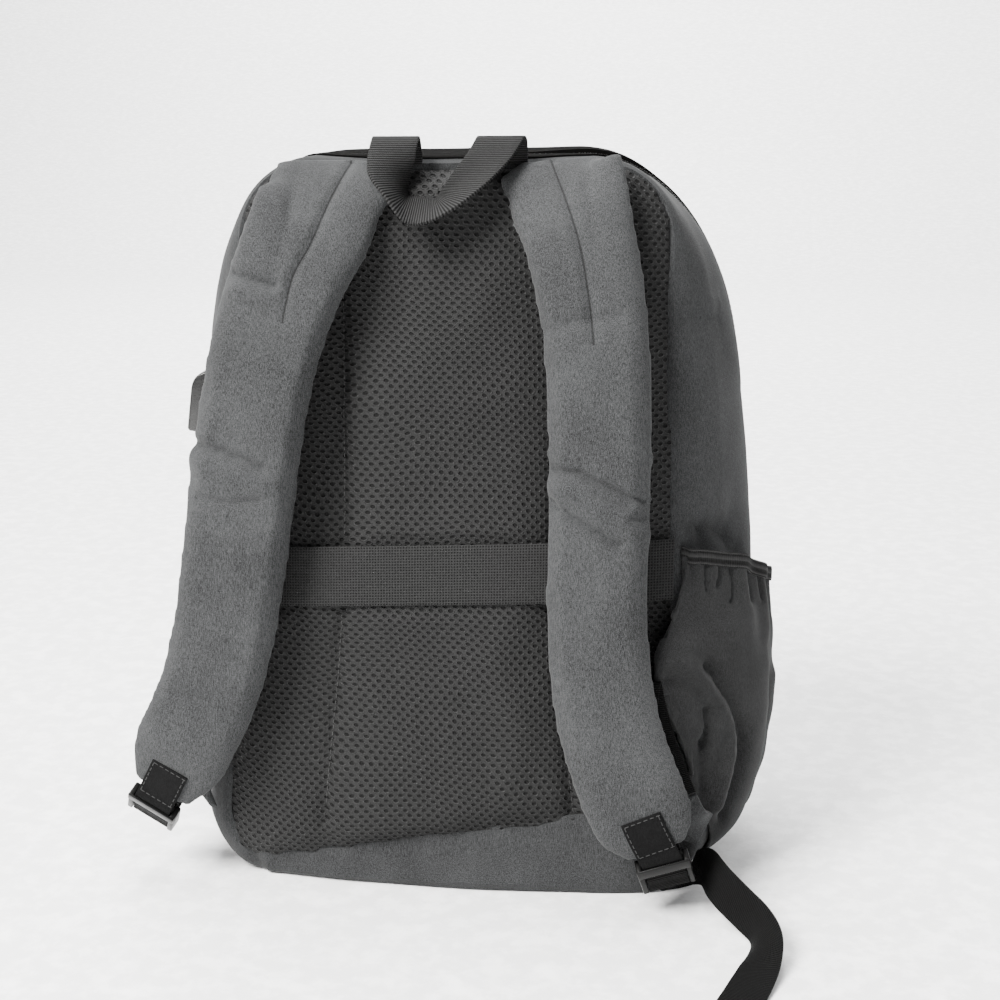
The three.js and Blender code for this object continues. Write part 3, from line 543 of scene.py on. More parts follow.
# the bag's skin, in rows from its back to its front
panelLean = math.radians(6)
bagForm = {
    "backAtFloor": -82,
    "lean": math.tan(panelLean),
    "height": 452,
    "depthAtFloor": 176,
    "depthAtTop": 106,
    "depthCurve": 1.6,
    "frontMiddle": 205,
    "frontCrown": 14,
    "leftTuck": (0.02, 180, 385),
    "baseOut": {"out": 14, "top": 45, "full": 0.05, "start": 0.1, "end": 0.4},
    "dent": {"deep": 7, "z": 226, "height": 18, "depth": 0.2, "reach": 0.17, "edge": 0.08},
    "ends": (0.14, 0.3, 0.6, 0.86),  # foot, foot corner, side and top corner, as shares of half the outline
    "wall": 2,
    "zipWidth": 8,
    "zipStart": 0.5,
    "zipEase": 0.012,
    "seamGap": 0.15,
    "inside": (0, 10, 220),
    "seed": 11,
    # depth, top, half width at the top, corner reach and drop, half width at the foot, its radius, foot, tilt, belly
    "rows": [
        (0, 446, 133, 42, 46, 145, 34, 31.5, 0.17, -3),
        (0.03, 448.5, 138, 49, 56, 151, 36, 12, 0.06, 0),
        (0.07, 449.5, 143, 57, 68, 157, 40, 0, 0, 3),
        (0.2, 450.5, 157, 80, 104, 168, 46, 0, 0, 7),
        (0.5, 452, 174, 106, 148, 176, 52, 0, 0, 9),
        (0.8, 441, 164, 106, 148, 166, 52, 0, 0, 8),
        (0.93, 424, 148, 98, 138, 151, 48, 2, 0, 7),
        (1, 403, 128, 88, 124, 133, 44, 13, 0, 6),
    ],
    "seam": [(0, 0.64), (0.5, 0.64), (0.62, 0.61), (0.74, 0.42), (0.86, 0.22), (1, 0.17)],
}
bodyColumns = [columnCurve(bagForm["rows"], column) for column in range(1, 10)]
seamCurve = columnCurve(bagForm["seam"], 1)


def backY(z):
    return bagForm["backAtFloor"] + z * bagForm["lean"]


def bagDepth(z):
    up = max(z, 0) / bagForm["height"]
    return bagForm["depthAtFloor"] - (bagForm["depthAtFloor"] - bagForm["depthAtTop"]) * up ** bagForm["depthCurve"]


def offPanel(x, z, off):
    return Vector((x, backY(z) - off * math.cos(panelLean), z + off * math.sin(panelLean)))


def outlinePoint(section, half, side):
    top, topHalf, topReach, topDrop, footHalf, footRadius, foot, tilt, belly = section
    footEnd, footCorner, sideEnd, topCorner = bagForm["ends"]

    def footZ(x):
        return max(foot + tilt * side * x, 0)

    inner = footHalf - footRadius
    if half <= footEnd:
        x = inner * half / footEnd
        return x, footZ(x)
    if half <= footCorner:
        angle = (half - footEnd) / (footCorner - footEnd) * math.pi / 2
        x = inner + footRadius * math.sin(angle)
        return x, footZ(x) + footRadius * (1 - math.cos(angle))
    if half <= sideEnd:
        share = (half - footCorner) / (sideEnd - footCorner)
        x = lerp(footHalf, topHalf, share) + belly * math.sin(math.pi * share)
        return x, lerp(footZ(footHalf) + footRadius, top - topDrop, share)
    if half <= topCorner:
        angle = (half - sideEnd) / (topCorner - sideEnd) * math.pi / 2
        return topHalf - topReach + topReach * math.cos(angle), top - topDrop * (1 - math.sin(angle))
    return (topHalf - topReach) * (1 - half) / (1 - topCorner), top


def bodyPoint(around, depth):  # depth 0 to 1 runs back to front, 1 to 2 over the front face
    turn = around % 2
    side, half = (1, turn) if turn <= 1 else (-1, 2 - turn)
    reach = min(max(depth, 0), 1)
    section = [curve(reach) for curve in bodyColumns]
    x, z = outlinePoint(section, half, side)
    base = bagForm["baseOut"]
    inDepth = smoothstep(reach, 0, base["full"]) * (1 - smoothstep(reach, base["start"], base["end"]))
    out = base["out"] * inDepth * (1 - smoothstep(z, 0, base["top"])) * max(1 - (x / section[4]) ** 2, 0)
    if side > 0:
        dent = bagForm["dent"]
        near = ((z - dent["z"]) / dent["height"]) ** 2 + ((reach - dent["depth"]) / dent["reach"]) ** 2
        wide = x - dent["deep"] * math.exp(-near) * smoothstep(reach, 0, dent["edge"])
    else:
        tuck, low, high = bagForm["leftTuck"]
        wide = x * (1 - tuck * smoothstep(z, low, high))
    point = Vector((side * wide, backY(z) + reach * bagDepth(z) - out, z))
    if depth <= 1:
        return point
    inward = depth - 1
    middle = bagForm["frontMiddle"]
    middleY = backY(middle) + bagDepth(middle) + bagForm["frontCrown"]
    point.x *= 1 - inward
    point.z = lerp(point.z, middle, inward)
    point.y = lerp(point.y, middleY, math.sin(inward * math.pi / 2))
    return point


nearby = 2e-3  # a short step along the outline or into the depth


def bodyAt(around, depth, out):  # the same, moved out along the skin's normal
    along = bodyPoint(around + nearby, depth) - bodyPoint(around - nearby, depth)
    deeper = bodyPoint(around, min(depth + nearby, 2)) - bodyPoint(around, max(depth - nearby, 0))
    return bodyPoint(around, depth) + deeper.cross(along).normalized() * out


def seamAt(around):
    return seamCurve(around if around <= 1 else 2 - around)


def seamHalf(around):  # half the zip's opening, as a share of the depth
    half = around if around <= 1 else 2 - around
    start = bagForm["zipStart"]
    opened = smoothstep(half, start - bagForm["zipEase"], start)
    opening = lerp(bagForm["seamGap"], bagForm["zipWidth"] / 2, opened)
    return opening / bagDepth(bodyPoint(around, seamAt(around)).z)


bagRear = {
    "steps": (260, 42),
    "tuck": 6,
    "tuckBack": 0.5,
    "tuckShare": 2 / 42,
    "unevenness": [(70, 1.4), (26, 0.45)],
    # width, rise and line of each fold
    "folds": [
        (5, -3.2, [(137, -50, 234), (152, -43, 230), (164, -28, 222), (175, -12, 205)]),
        (7, 2.2, [(138, -49, 245), (153, -41, 242), (168, -22, 234)]),
        (3, -1.5, [(152, -43, 227), (154, -42, 214)]),
        (4, -1.8, [(136, -43, 356), (149, -31, 356), (161, -10, 352)]),
        (5, 1.2, [(138, -43, 366), (150, -30, 365), (160, -12, 361)]),
        (4, -2.2, [(-131, -78, 22), (-127, -80, 8), (-124, -78, 0)]),
        (5, 1.4, [(-120, -82, 22), (-117, -83, 6)]),
        (6, -1.2, [(30, -92, 30), (70, -92, 24), (112, -90, 22)]),
        (6, -1.0, [(-40, -92, 18), (10, -94, 14)]),
    ],
}
bagFront = {
    "steps": (260, 84),
    "sideShare": 0.38,
    "unevenness": [(85, 2.0), (32, 0.6)],
    "folds": [
        (6, -3.4, [(181, 30, 250), (172, 60, 262), (160, 84, 258)]),
        (6, -3.4, [(-181, 30, 205), (-172, 60, 214), (-160, 84, 205)]),
        (9, -4.1, [(-120, 96, 70), (-70, 104, 96), (-20, 108, 88)]),
        (9, -3.7, [(120, 96, 80), (80, 104, 112), (40, 108, 108)]),
        (8, -3.1, [(-80, 88, 330), (-30, 94, 316), (30, 95, 322)]),
        (5, -3.1, [(-150, 80, 60), (-162, 60, 40), (-160, 40, 20)]),
        (5, -3.1, [(150, 80, 60), (162, 60, 40), (160, 40, 20)]),
    ],
}


def rearSkin(u, v):
    share = bagRear["tuckShare"]
    if v < share:  # turned in behind the panel's edge
        point = bodyPoint(2 * u, 0)
        inward = (Vector((0, point.y, bagForm["height"] / 2)) - point).normalized()
        turned = 1 - v / share
        return point + inward * bagRear["tuck"] * turned + Vector((0, bagRear["tuckBack"] * turned, 0))
    return bodyPoint(2 * u, (v - share) / (1 - share) * (seamAt(2 * u) - seamHalf(2 * u)))


def frontSkin(u, v):
    start = seamAt(2 * u) + seamHalf(2 * u)
    side = bagFront["sideShare"]
    depth = lerp(start, 1, v / side) if v < side else lerp(1, 2, (v - side) / (1 - side))
    return bodyPoint(2 * u, depth)


def makeSkin(name, form, place, node):
    bm = layGrid(form["steps"], place)
    faceAway(bm, bagForm["inside"])
    ruffle(bm, form["unevenness"], bagForm["seed"])
    pressFolds(bm, form["folds"])
    for vert in bm.verts:  # the base stays on the floor
        vert.co.z = max(vert.co.z, 0)
    piece = addPiece(name, bm, greyFinish, "grey_cloth", node)
    thicken(piece, bagForm["wall"], -1)
    settle(piece)


makeSkin("bagRearCloth", bagRear, rearSkin, "bag_rear")
makeSkin("bagFrontCloth", bagFront, frontSkin, "bag_front")
print("bag cloth made")

# zip along the top arch, with its teeth and slider
zipForm = {
    "start": 0.502,
    "steps": 400,
    "tapeSteps": (300, 4),
    "tapeWidth": 7.6,
    "tapeThick": 1.0,
    "recess": 0.8,
    "flapSteps": (240, 12),
    "flapEdge": (-0.3, 0.35),  # near edges of the back and front flap, in tape widths
    "flapSpread": (40, 110),  # the back flap widens between these x
    "flapStart": 0.745,
    "flapTop": 3,
    "flapSide": 11,
    "flapFront": 0.44,
    "flapTaper": 0.36,
    "flapLift": 1.1,
    "flapCrown": 0.9,
    "flapEnd": (-0.6, 0.17),  # lift at the ends and the share that it takes to rise
    "flapThick": (0.8, 2.8),  # back, front
    "toothStep": 1.7,
    "tooth": (2.0, 0.95, 1.1),
    "toothSide": 0.45,
    "toothUp": 0.5,
    "slider": 1.485,
    "sliderUp": 2.0,
    # place, size and rounding of the slider's body, bridge, pull and grip
    "sliderBlocks": [
        ((0, 0, 0), (7, 11, 3), 0.9), ((0, 0, 2.2), (2.4, 8.5, 1.8), 0.6),
        ((0, 9, 3.2), (5.5, 19, 1.2), 0.45), ((0, 15, 3.2), (4, 5.5, 1.9), 0.6),
    ],
}


def zipFrame(around, lift):  # middle of the zip, with its directions across, along and out
    depth = seamAt(around)
    middle = bodyAt(around, depth, lift)
    out = (bodyAt(around, depth, 1) - bodyAt(around, depth, 0)).normalized()
    before, after = around - nearby, around + nearby
    along = bodyPoint(after, seamAt(after)) - bodyPoint(before, seamAt(before))
    along = (along - out * along.dot(out)).normalized()
    return axesAt(middle, along.cross(out), along, out)


def addBlock(bm, placed, size, rounding=0.0, segments=2):  # a box with rounded edges, size in millimetres
    block = bmesh.ops.create_cube(bm, size=1, matrix=placed @ Matrix.Diagonal((*size, 1)))
    if rounding:
        edges = list({edge for vert in block["verts"] for edge in vert.link_edges})
        bmesh.ops.bevel(bm, geom=edges, offset=rounding, segments=segments, profile=0.5, affect="EDGES", material=-1)


def toMetres(bm):
    bmesh.ops.scale(bm, vec=(mm, mm, mm), verts=bm.verts)
    bmesh.ops.recalc_face_normals(bm, faces=bm.faces)


def makeZip(form):
    first, last = form["start"], 2 - form["start"]
    steps = form["steps"]
    turns = [lerp(first, last, i / steps) for i in range(steps + 1)]
    run = lengthsAlong([bodyPoint(around, seamAt(around)) for around in turns])

    def tapePlace(u, v):
        around = lerp(first, last, u)
        depth = seamAt(around)
        perDepth = 1 / bagDepth(bodyPoint(around, depth).z)
        return bodyAt(around, depth + (v - 0.5) * form["tapeWidth"] * perDepth, -form["recess"])

    width = form["tapeWidth"] * mm
    bm = layGrid(form["tapeSteps"], tapePlace, lambda u, v: (run[round(u * steps)] * mm, v * width))
    faceAway(bm, bagForm["inside"])
    tape = addPiece("zipTapeStrip", bm, zipFinish, "zip_tape", "main_zip")
    thicken(tape, form["tapeThick"], -1)
    settle(tape)

    def flapPlace(u, v, flap):
        around = lerp(form["flapStart"], 2 - form["flapStart"], u)
        depth, fromEnd = seamAt(around), min(u, 1 - u)
        middle = bodyPoint(around, depth)
        perDepth = 1 / bagDepth(middle.z)
        step = form["flapEdge"][flap] * form["tapeWidth"] * perDepth
        if flap:
            wide, crown = form["flapFront"], form["flapCrown"] * smoothstep(fromEnd, 0, form["flapTaper"] / 2)
        else:
            spread = smoothstep(abs(middle.x), *form["flapSpread"])
            wide, crown = lerp(form["flapTop"], form["flapSide"], spread) * perDepth, 0
        far = lerp(depth + 2 * step, wide, smoothstep(fromEnd, 0, form["flapTaper"]))
        low, rising = form["flapEnd"]
        lift = lerp(low, form["flapLift"] + crown, smoothstep(fromEnd, 0, rising))
        return bodyAt(around, lerp(depth + step, far, v), lift)

    for flap, (name, below) in enumerate((("zipFlapBack", bagRear), ("zipFlapFront", bagFront))):
        bm = layGrid(form["flapSteps"], lambda u, v: flapPlace(u, v, flap))
        faceAway(bm, bagForm["inside"])
        ruffle(bm, below["unevenness"], bagForm["seed"])  # as the cloth below it
        piece = addPiece(name, bm, shadedFlapFinish, "zip_tape")
        thicken(piece, form["flapThick"][flap], -1)
        settle(piece)
    bm = bmesh.new()
    for i in range(int(run[-1] / form["toothStep"])):
        share = placeAt(run, (i + 0.5) * form["toothStep"]) / steps
        side = form["toothSide"] * (1 if i % 2 else -1)
        spot = zipFrame(lerp(first, last, share), form["toothUp"] - form["recess"])
        addBlock(bm, spot @ Matrix.Translation((side, 0, 0)), form["tooth"])
    toMetres(bm)
    crisp(addPiece("zipTeeth", bm, teethFinish, "zip_tape"), 40)
    bm = bmesh.new()
    seat = zipFrame(form["slider"], form["sliderUp"])
    for place, size, rounding in form["sliderBlocks"]:
        addBlock(bm, seat @ Matrix.Translation(place), size, rounding)
    toMetres(bm)
    crisp(addPiece("zipSliderPull", bm, sliderFinish, "slider_metal", "zip_slider"), 35)


makeZip(zipForm)
print("zip made")

# padded pieces: a copy of the solid, remeshed, blown up a little and sewn


def remeshed(node, name, voxel, shrink):
    pad = linkMesh(name, copyNode(node))
    grain = pad.modifiers.new("grain", "REMESH")
    grain.mode = "VOXEL"
    grain.voxel_size = voxel * mm
    settle(pad, 180)
    bm = meshOf(pad)
    smoothOut(bm, bm.verts, 3)
    bm.normal_update()
    pushOut(bm, [-shrink] * len(bm.verts))  # a little under the solid's size, or over it
    bm.to_mesh(pad.data)
    bm.free()
    return pad


def corners(mesh):
    flat = np.zeros(len(mesh.vertices) * 3)
    mesh.vertices.foreach_get("co", flat)
    return flat.reshape(-1, 3)


def blowUp(pad, air):  # cloth under pressure, with a cap on how far a point moves
    start = corners(pad.data)
    cloth = pad.modifiers.new("air", "CLOTH")
    cloth.settings.use_pressure = True
    cloth.settings.uniform_pressure_force = air["pressure"]
    cloth.settings.effector_weights.gravity = 0
    cloth.settings.quality = 5
    cloth.collision_settings.use_collision = False
    for step in range(1, air["frames"] + 1):
        scene.frame_set(step)
    graph = bpy.context.evaluated_depsgraph_get()
    swelled = corners(pad.evaluated_get(graph).data)
    pad.modifiers.remove(cloth)
    scene.frame_set(1)
    move = swelled - start
    length = np.maximum(np.linalg.norm(move, axis=1), 1e-9)
    return start, move * np.minimum(1, air["cap"] * mm / length)[:, None]


def moveCorners(pad, places):
    pad.data.vertices.foreach_set("co", np.asarray(places, float).ravel())
    pad.data.update()


def finer(pad):  # one subdivision, applied
    smooth = pad.modifiers.new("finer", "SUBSURF")
    smooth.levels = 1
    smooth.render_levels = 1
    settle(pad, 180)


def dressPad(pad, bm, finish, node):
    bm.to_mesh(pad.data)
    bm.free()
    pad.data.shade_smooth()
    pad.data.materials.clear()
    pad.data.materials.append(finish)
    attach(pad, "root")
    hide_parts(node)


# luggage band across the panel, before the panel that it holds down
bandForm = {"half": 137, "width": 37, "thick": 1.6, "middle": 202, "tilt": 0.045, "off": 3.9, "slack": 7.5, "rows": 24}


def bandMiddle(x):
    return bandForm["middle"] + bandForm["tilt"] * x


def bandY(x, z):
    return backY(z) - bandForm["off"] - bandForm["slack"] * (1 - min(abs(x / bandForm["half"]), 1) ** 4)


backPanel = {
    "voxel": 4,
    "shrink": 0.6,
    "fill": 0.6,
    "rim": 3.2,
    "backRim": 2,
    "seed": 5,
    "middle": 238,
    "reach": (143, 207),
    "air": {"pressure": 4, "cap": 3, "frames": 20},
    "bandGap": 1.4,
    "bandGrip": {"start": 1, "end": 14, "rise": 4, "beyond": 4},
    "channelTop": 65,
    "channelFoot": 80,
    "channelCurve": 220,
    "channelSpan": (40, 431, 15),
    "channelOff": 4,
    "channelPress": (3.2, -2.6),  # width and rise
    "unevenness": [(75, 3.2), (30, 1.0)],
    "folds": [
        (16, -3.0, [(-20, -60, 425), (-22, -70, 395), (-30, -74, 360)]),
        (14, 2.0, [(25, -66, 400), (22, -72, 360)]),
        (12, -1.8, [(-60, -80, 150), (-20, -84, 120), (10, -86, 118)]),
        (12, 1.8, [(30, -84, 150), (45, -86, 110), (40, -88, 70)]),
    ],
}


def channelX(z):  # the sewn channels spread towards the foot
    curve = backPanel["channelCurve"]
    return lerp(backPanel["channelTop"], backPanel["channelFoot"], smoothstep(curve - z, 0, curve))


def makePanel(form):
    pad = remeshed("back_panel", "backPanelMesh", form["voxel"], form["shrink"])
    start, move = blowUp(pad, form["air"])
    wide, tall = form["reach"]
    start[:, 0] *= 1 + form["rim"] / wide  # out to the seam
    start[:, 2] += (start[:, 2] - form["middle"] * mm) * form["rim"] / tall
    plane = bagForm["backAtFloor"] * mm + start[:, 2] * bagForm["lean"]
    front = np.clip((plane - start[:, 1]) / (form["backRim"] * mm), 0, 1)
    moveCorners(pad, start + move * front[:, None])
    finer(pad)
    bm = meshOf(pad)
    channels = []
    for side in (-1, 1):
        line = [(side * channelX(z), backY(z) - form["channelOff"], z) for z in range(*form["channelSpan"])]
        channels.append((*form["channelPress"], line))
    ruffle(bm, form["unevenness"], form["seed"], True)
    pressFolds(bm, channels + form["folds"])
    grip = form["bandGrip"]
    for vert in bm.verts:  # the luggage band holds the pad down
        x, y, z = vert.co / mm
        edge = abs(z - bandMiddle(x)) - bandForm["width"] / 2
        if edge < grip["end"] and abs(x) < bandForm["half"] + grip["beyond"]:
            held = bandY(x, z) + form["bandGap"] - grip["rise"] * smoothstep(edge, grip["start"], grip["end"])
            vert.co.y = max(y, held) * mm
    dressPad(pad, bm, meshFinish, "back_panel")
    return pad


panelPad = makePanel(backPanel)
print("back panel made")

# shoulder straps: x, z, distance off the panel, half width and thickness down each strap
strapForm = {
    "voxel": 2.6,
    "shrink": -0.5,
    "fill": 0.7,
    "edgeHold": 0.2,  # how much the edges may widen
    "topRise": (5, 420, 25),  # rise, the height where it starts and the height that it takes
    "leanFrom": (408, 30),
    "calmTop": (447, 22),
    "dartDraw": {"deep": 1.8, "width": 3.2, "fade": 25, "facing": -0.2},
    # shade and dark set the painted shade along the dart's groove
    "dartLine": {"width": 1.1, "start": 6, "deep": 6.0, "shade": 0.75, "dark": 0.3},
    "air": {"pressure": 4, "cap": 3.5, "frames": 20},
    "unevenness": [(60, 1.0), (26, 0.35)],
    "left": {
        "seed": 21,
        "rows": [
            (-75, 443, 3.6, 28.5, 4), (-75, 435, 10, 33.5, 6.5), (-75, 426, 15, 37.5, 9),
            (-79, 411, 20.5, 38.5, 11.5), (-93, 379, 26, 36.5, 13), (-106.5, 337, 30, 35, 13),
            (-116, 291, 31, 34.5, 13), (-123, 244, 30, 34.5, 13), (-129.5, 200, 28, 34, 13),
            (-137.5, 157, 26, 33.5, 13), (-148.5, 121, 25, 33, 12.5), (-160.5, 96, 25, 32, 12),
            (-170.5, 77, 24.5, 29, 10.5), (-180, 60, 22, 19, 7),
        ],
        "corner": (7.5, 430, 9),  # reach, height and size of the inner top corner
        "topLean": (0.0, -75),  # rise over width, and where it is level
        "calm": (78, 100),  # no swelling below the tab's top
        "dart": [(350, -94), (364, -92.2), (383, -87.7), (401.5, -77.6), (424.6, -68.6), (446, -59)],
        "folds": [
            (2.4, -2.6, [(-123, -74, 383), (-111, -75, 380), (-99, -75, 377)]),
            (6, 1.9, [(-121, -76, 374), (-105, -78, 369)]),
            (2.5, -3.0, [(-152, -84, 284), (-130, -90, 280), (-107, -91, 271)]),
            (7, 2.4, [(-150, -86, 274), (-128, -91, 269), (-108, -92, 260)]),
            (2.6, -2.2, [(-146, -92, 252), (-127, -92, 249), (-109, -92, 251)]),
            (5, -1.9, [(-165, -97, 130), (-148, -99, 124)]),
        ],
    },
    "right": {
        "seed": 34,
        "rows": [
            (69, 444, 3.6, 26, 4), (68, 436, 10, 32.5, 6.5), (70.5, 426, 15, 35, 9),
            (77, 409, 20.5, 34, 11.5), (84.5, 379, 26, 33, 13), (91, 335, 31, 32, 13),
            (93.5, 285, 33, 31.5, 13), (93.5, 232, 33, 31, 13), (93, 194, 32, 31, 13),
            (95, 157, 31, 31.5, 13), (99.5, 125, 31, 32, 12.5), (108, 96, 32, 32.5, 12),
            (117.5, 74, 35, 32, 11), (125.5, 56, 35, 29.5, 9.5), (131.5, 42.5, 31, 19, 7),
        ],
        "corner": (-9.5, 437, 8),
        "topLean": (0.24, 71),
        "calm": (66, 88),
        "dart": [(340, 90.5), (354, 88.7), (377, 85.3), (402, 79.9), (424.7, 71.5), (448, 60)],
        "folds": [
            (2.4, -3.4, [(66, -91, 273), (83, -93, 273), (105, -94, 262), (121, -93, 256)]),
            (7, 2.9, [(70, -92, 264), (90, -95, 258), (108, -96, 248)]),
            (2.2, -3.2, [(66, -93, 255), (85, -96, 244), (106, -97, 231)]),
            (2.2, -2.0, [(93, -96, 261), (102, -96, 257), (111, -96, 255)]),
            (2.2, -1.5, [(112, -95, 247), (119, -94, 245)]),
            (6, 1.9, [(112, -96, 240), (122, -95, 236)]),
            (5, -1.9, [(60, -78, 352), (78, -82, 358), (104, -80, 362)]),
        ],
    },
}


def strapFrame(rows, at):
    points = [offPanel(x, z, off) for x, z, off, half, thick in rows]
    down = pathTangent(points, at)
    across = down.cross(Vector((0, -math.cos(panelLean), math.sin(panelLean)))).normalized()
    return pathPoint(points, at), down, across, across.cross(down)


def strapCurve(rows, column):
    last = len(rows) - 1
    return columnCurve([(i / last, row[column]) for i, row in enumerate(rows)], 1)


def shareOver(heights, low, span):  # 0 below a height, 1 once over the span above it
    return np.clip((heights - low) / span, 0, 1)


def makeStrap(hand):
    form, node, name = strapForm[hand], "strap_" + hand, hand.capitalize()
    pad = remeshed(node, "strapPad" + name, strapForm["voxel"], strapForm["shrink"])
    start, move = blowUp(pad, strapForm["air"])
    move[:, 0] *= strapForm["edgeHold"]
    rise, low, span = strapForm["topRise"]
    start[:, 2] += rise * mm * shareOver(start[:, 2] / mm, low, span)
    lean, level = form["topLean"]
    start[:, 2] += lean * (start[:, 0] - level * mm) * shareOver(start[:, 2] / mm, *strapForm["leanFrom"])
    reach, high, size = form["corner"]
    inner = shareOver(start[:, 0] / mm, form["rows"][1][0], math.copysign(form["rows"][1][3], reach))
    start[:, 0] += reach * mm * inner**2 * np.exp(-(((start[:, 2] / mm - high) / size) ** 2))
    low, high = form["calm"]
    top, ease = strapForm["calmTop"]
    calm = shareOver(start[:, 2] / mm, low, high - low) * shareOver(start[:, 2] / mm, top, -ease)
    moveCorners(pad, start + move * calm[:, None])
    finer(pad)
    bm = meshOf(pad)
    ruffle(bm, strapForm["unevenness"], form["seed"], True)
    pressFolds(bm, form["folds"])
    dart, draw, line = columnCurve(form["dart"], 1), strapForm["dartDraw"], strapForm["dartLine"]
    foot, top = form["dart"][0][0], form["dart"][-1][0]
    for vert in bm.verts:  # the dart draws the cloth in
        z = vert.co.z / mm
        if z > foot and vert.normal.y < draw["facing"]:
            gap = vert.co.x / mm - dart(min(z, top))
            fade = smoothstep(z, foot, foot + draw["fade"])
            vert.co -= vert.normal * draw["deep"] * fade * math.exp(-((gap / draw["width"]) ** 2)) * mm
    weave = bm.loops.layers.uv.new("weave")
    for face in bm.faces:
        for loop in face.loops:
            x, y, z = loop.vert.co / mm
            loop[weave].uv = ((x - dart(min(max(z, foot), top))) * mm, z * mm)
    sewn = {**line, "width": line["width"] * mm, "foot": (foot + line["start"]) * mm}
    finish = heatherCloth("strapHeather" + name, strapCloth, sewn)
    dressPad(pad, bm, finish, node)


for hand in ("left", "right"):
    makeStrap(hand)
print("straps made")

# gathered side pocket with its elastic binding
pocketForm = {
    "steps": (150, 90),
    "back": 0.012,
    "front": 0.63,
    "footBack": 61,
    "footFront": 13,
    "footEnd": 0.35,
    "mouthBack": 221,
    "mouthFront": 186,
    "binding": 10,
    "bindingThick": 2.8,
    "bindingTaper": 0.06,
    "seamOff": 0.6,
    "wall": 1.3,
    "roundness": 0.8,
    "puff": 19,
    "swell": [(0, 0), (0.12, 0.5), (0.35, 0.95), (0.6, 1), (0.85, 0.78), (1, 0.6)],
    "gathers": 6,
    "gatherRise": 1.7,
    "gatherFrom": 0.5,
    "gatherDrift": (1.3, 7),  # size and rate
    "underBinding": 0.6,
    "clothOff": 1.6,
    "bindingSteps": (110, 28),
    "bindingEnd": 0.25,
    "bindingSquare": 0.5,  # 1 is an oval, and less is squarer
    "bindingOff": (0.4, 0.3),  # over the cloth, and at least this far off the bag
    "mouthBlend": 0.5,
    "smoothing": 6,
    "seed": 3,
    "inside": (100, 0, 120),
    "overhang": {"x": 29, "y": 20, "across": 0.09, "reach": 0.16, "up": 0.56, "height": 0.32, "edge": 0.05},
    "unevenness": [(40, 1.4), (18, 0.6)],
    # width and rise of each fold, and its line as shares across and up the pocket
    "folds": [
        (5, 4.0, [(0.09, 0.65), (0.157, 0.65), (0.2, 0.59), (0.23, 0.53), (0.25, 0.48), (0.256, 0.42), (0.235, 0.3),
                  (0.19, 0.12)]),
        (4.5, -6.0, [(0.2, 0.66), (0.25, 0.57), (0.295, 0.46), (0.3, 0.38), (0.275, 0.26), (0.235, 0.1)]),
        (3.0, -5.5, [(0.203, 0.5), (0.2, 0.43), (0.17, 0.34)]),
        (5, -3.6, [(0.165, 0.33), (0.125, 0.22), (0.1, 0.1)]),
        (3, -2.4, [(0.1, 0.58), (0.15, 0.585), (0.19, 0.55)]),
        (4, -2.2, [(0.02, 0.52), (0.08, 0.47), (0.12, 0.45)]),
        (4, 2.4, [(0.225, 0.44), (0.19, 0.35), (0.165, 0.27)]),
        (9, 2.4, [(0.05, 0.69), (0.18, 0.75), (0.24, 0.79)]),
        (2.2, -1.6, [(0.06, 0.99), (0.075, 0.94)]),
        (2.4, -3.2, [(0.13, 0.99), (0.136, 0.95), (0.15, 0.9)]),
        (2.2, -2.6, [(0.197, 0.99), (0.2, 0.95), (0.192, 0.92)]),
        (2.4, -3.4, [(0.243, 0.99), (0.255, 0.94), (0.25, 0.88)]),
        (2.6, -3.0, [(0.37, 0.99), (0.36, 0.9)]),
        (2.4, -2.6, [(0.47, 0.99), (0.475, 0.91)]),
        (2.8, -3.2, [(0.61, 0.99), (0.6, 0.86)]),
        (2.8, -3.0, [(0.74, 0.99), (0.73, 0.87)]),
        (6, -2.6, [(0.55, 0.75), (0.58, 0.45), (0.54, 0.2)]),
        (7, 2.2, [(0.68, 0.62), (0.71, 0.36), (0.66, 0.15)]),
    ],
}
pocketSwell = columnCurve(pocketForm["swell"], 1)


def aroundAt(z, depth):  # the place on the side outline at a height
    section = [curve(depth) for curve in bodyColumns]
    top, topHalf, topReach, topDrop, footHalf, footRadius, foot, tilt, belly = section
    footEnd, footCorner, sideEnd, topCorner = bagForm["ends"]
    low = max(foot + tilt * footHalf, 0)
    if z >= low + footRadius:
        return lerp(footCorner, sideEnd, (z - low - footRadius) / (top - topDrop - low - footRadius))
    angle = math.acos(min(max(1 - (z - low) / footRadius, -1), 1))
    return lerp(footEnd, footCorner, angle / (math.pi / 2))


def pocketMouth(across):
    fall = lerp(smoothstep(across, 0, 1), 1 - (1 - across) ** 2, pocketForm["mouthBlend"])
    return lerp(pocketForm["mouthBack"], pocketForm["mouthFront"], fall)


def pocketOff(across, up):
    drift, rate = pocketForm["gatherDrift"]
    gather = math.cos(2 * math.pi * pocketForm["gathers"] * across + drift * math.sin(rate * across))
    gather *= pocketForm["gatherRise"] * smoothstep(up, pocketForm["gatherFrom"], 1)
    bulge = pocketForm["puff"] * pocketSwell(up) + gather
    return pocketForm["seamOff"] + math.sin(math.pi * across) ** pocketForm["roundness"] * bulge


def pocketShift(across, up):
    over = pocketForm["overhang"]
    near = ((across - over["across"]) / over["reach"]) ** 2 + ((up - over["up"]) / over["height"]) ** 2
    amount = math.exp(-near) * smoothstep(across, 0, over["edge"])
    return Vector((-over["x"], -over["y"], 0)) * amount


def pocketPoint(across, height, off, up):
    depth = lerp(pocketForm["back"], pocketForm["front"], across)
    return bodyAt(aroundAt(height, depth), depth, off) + pocketShift(across, up)


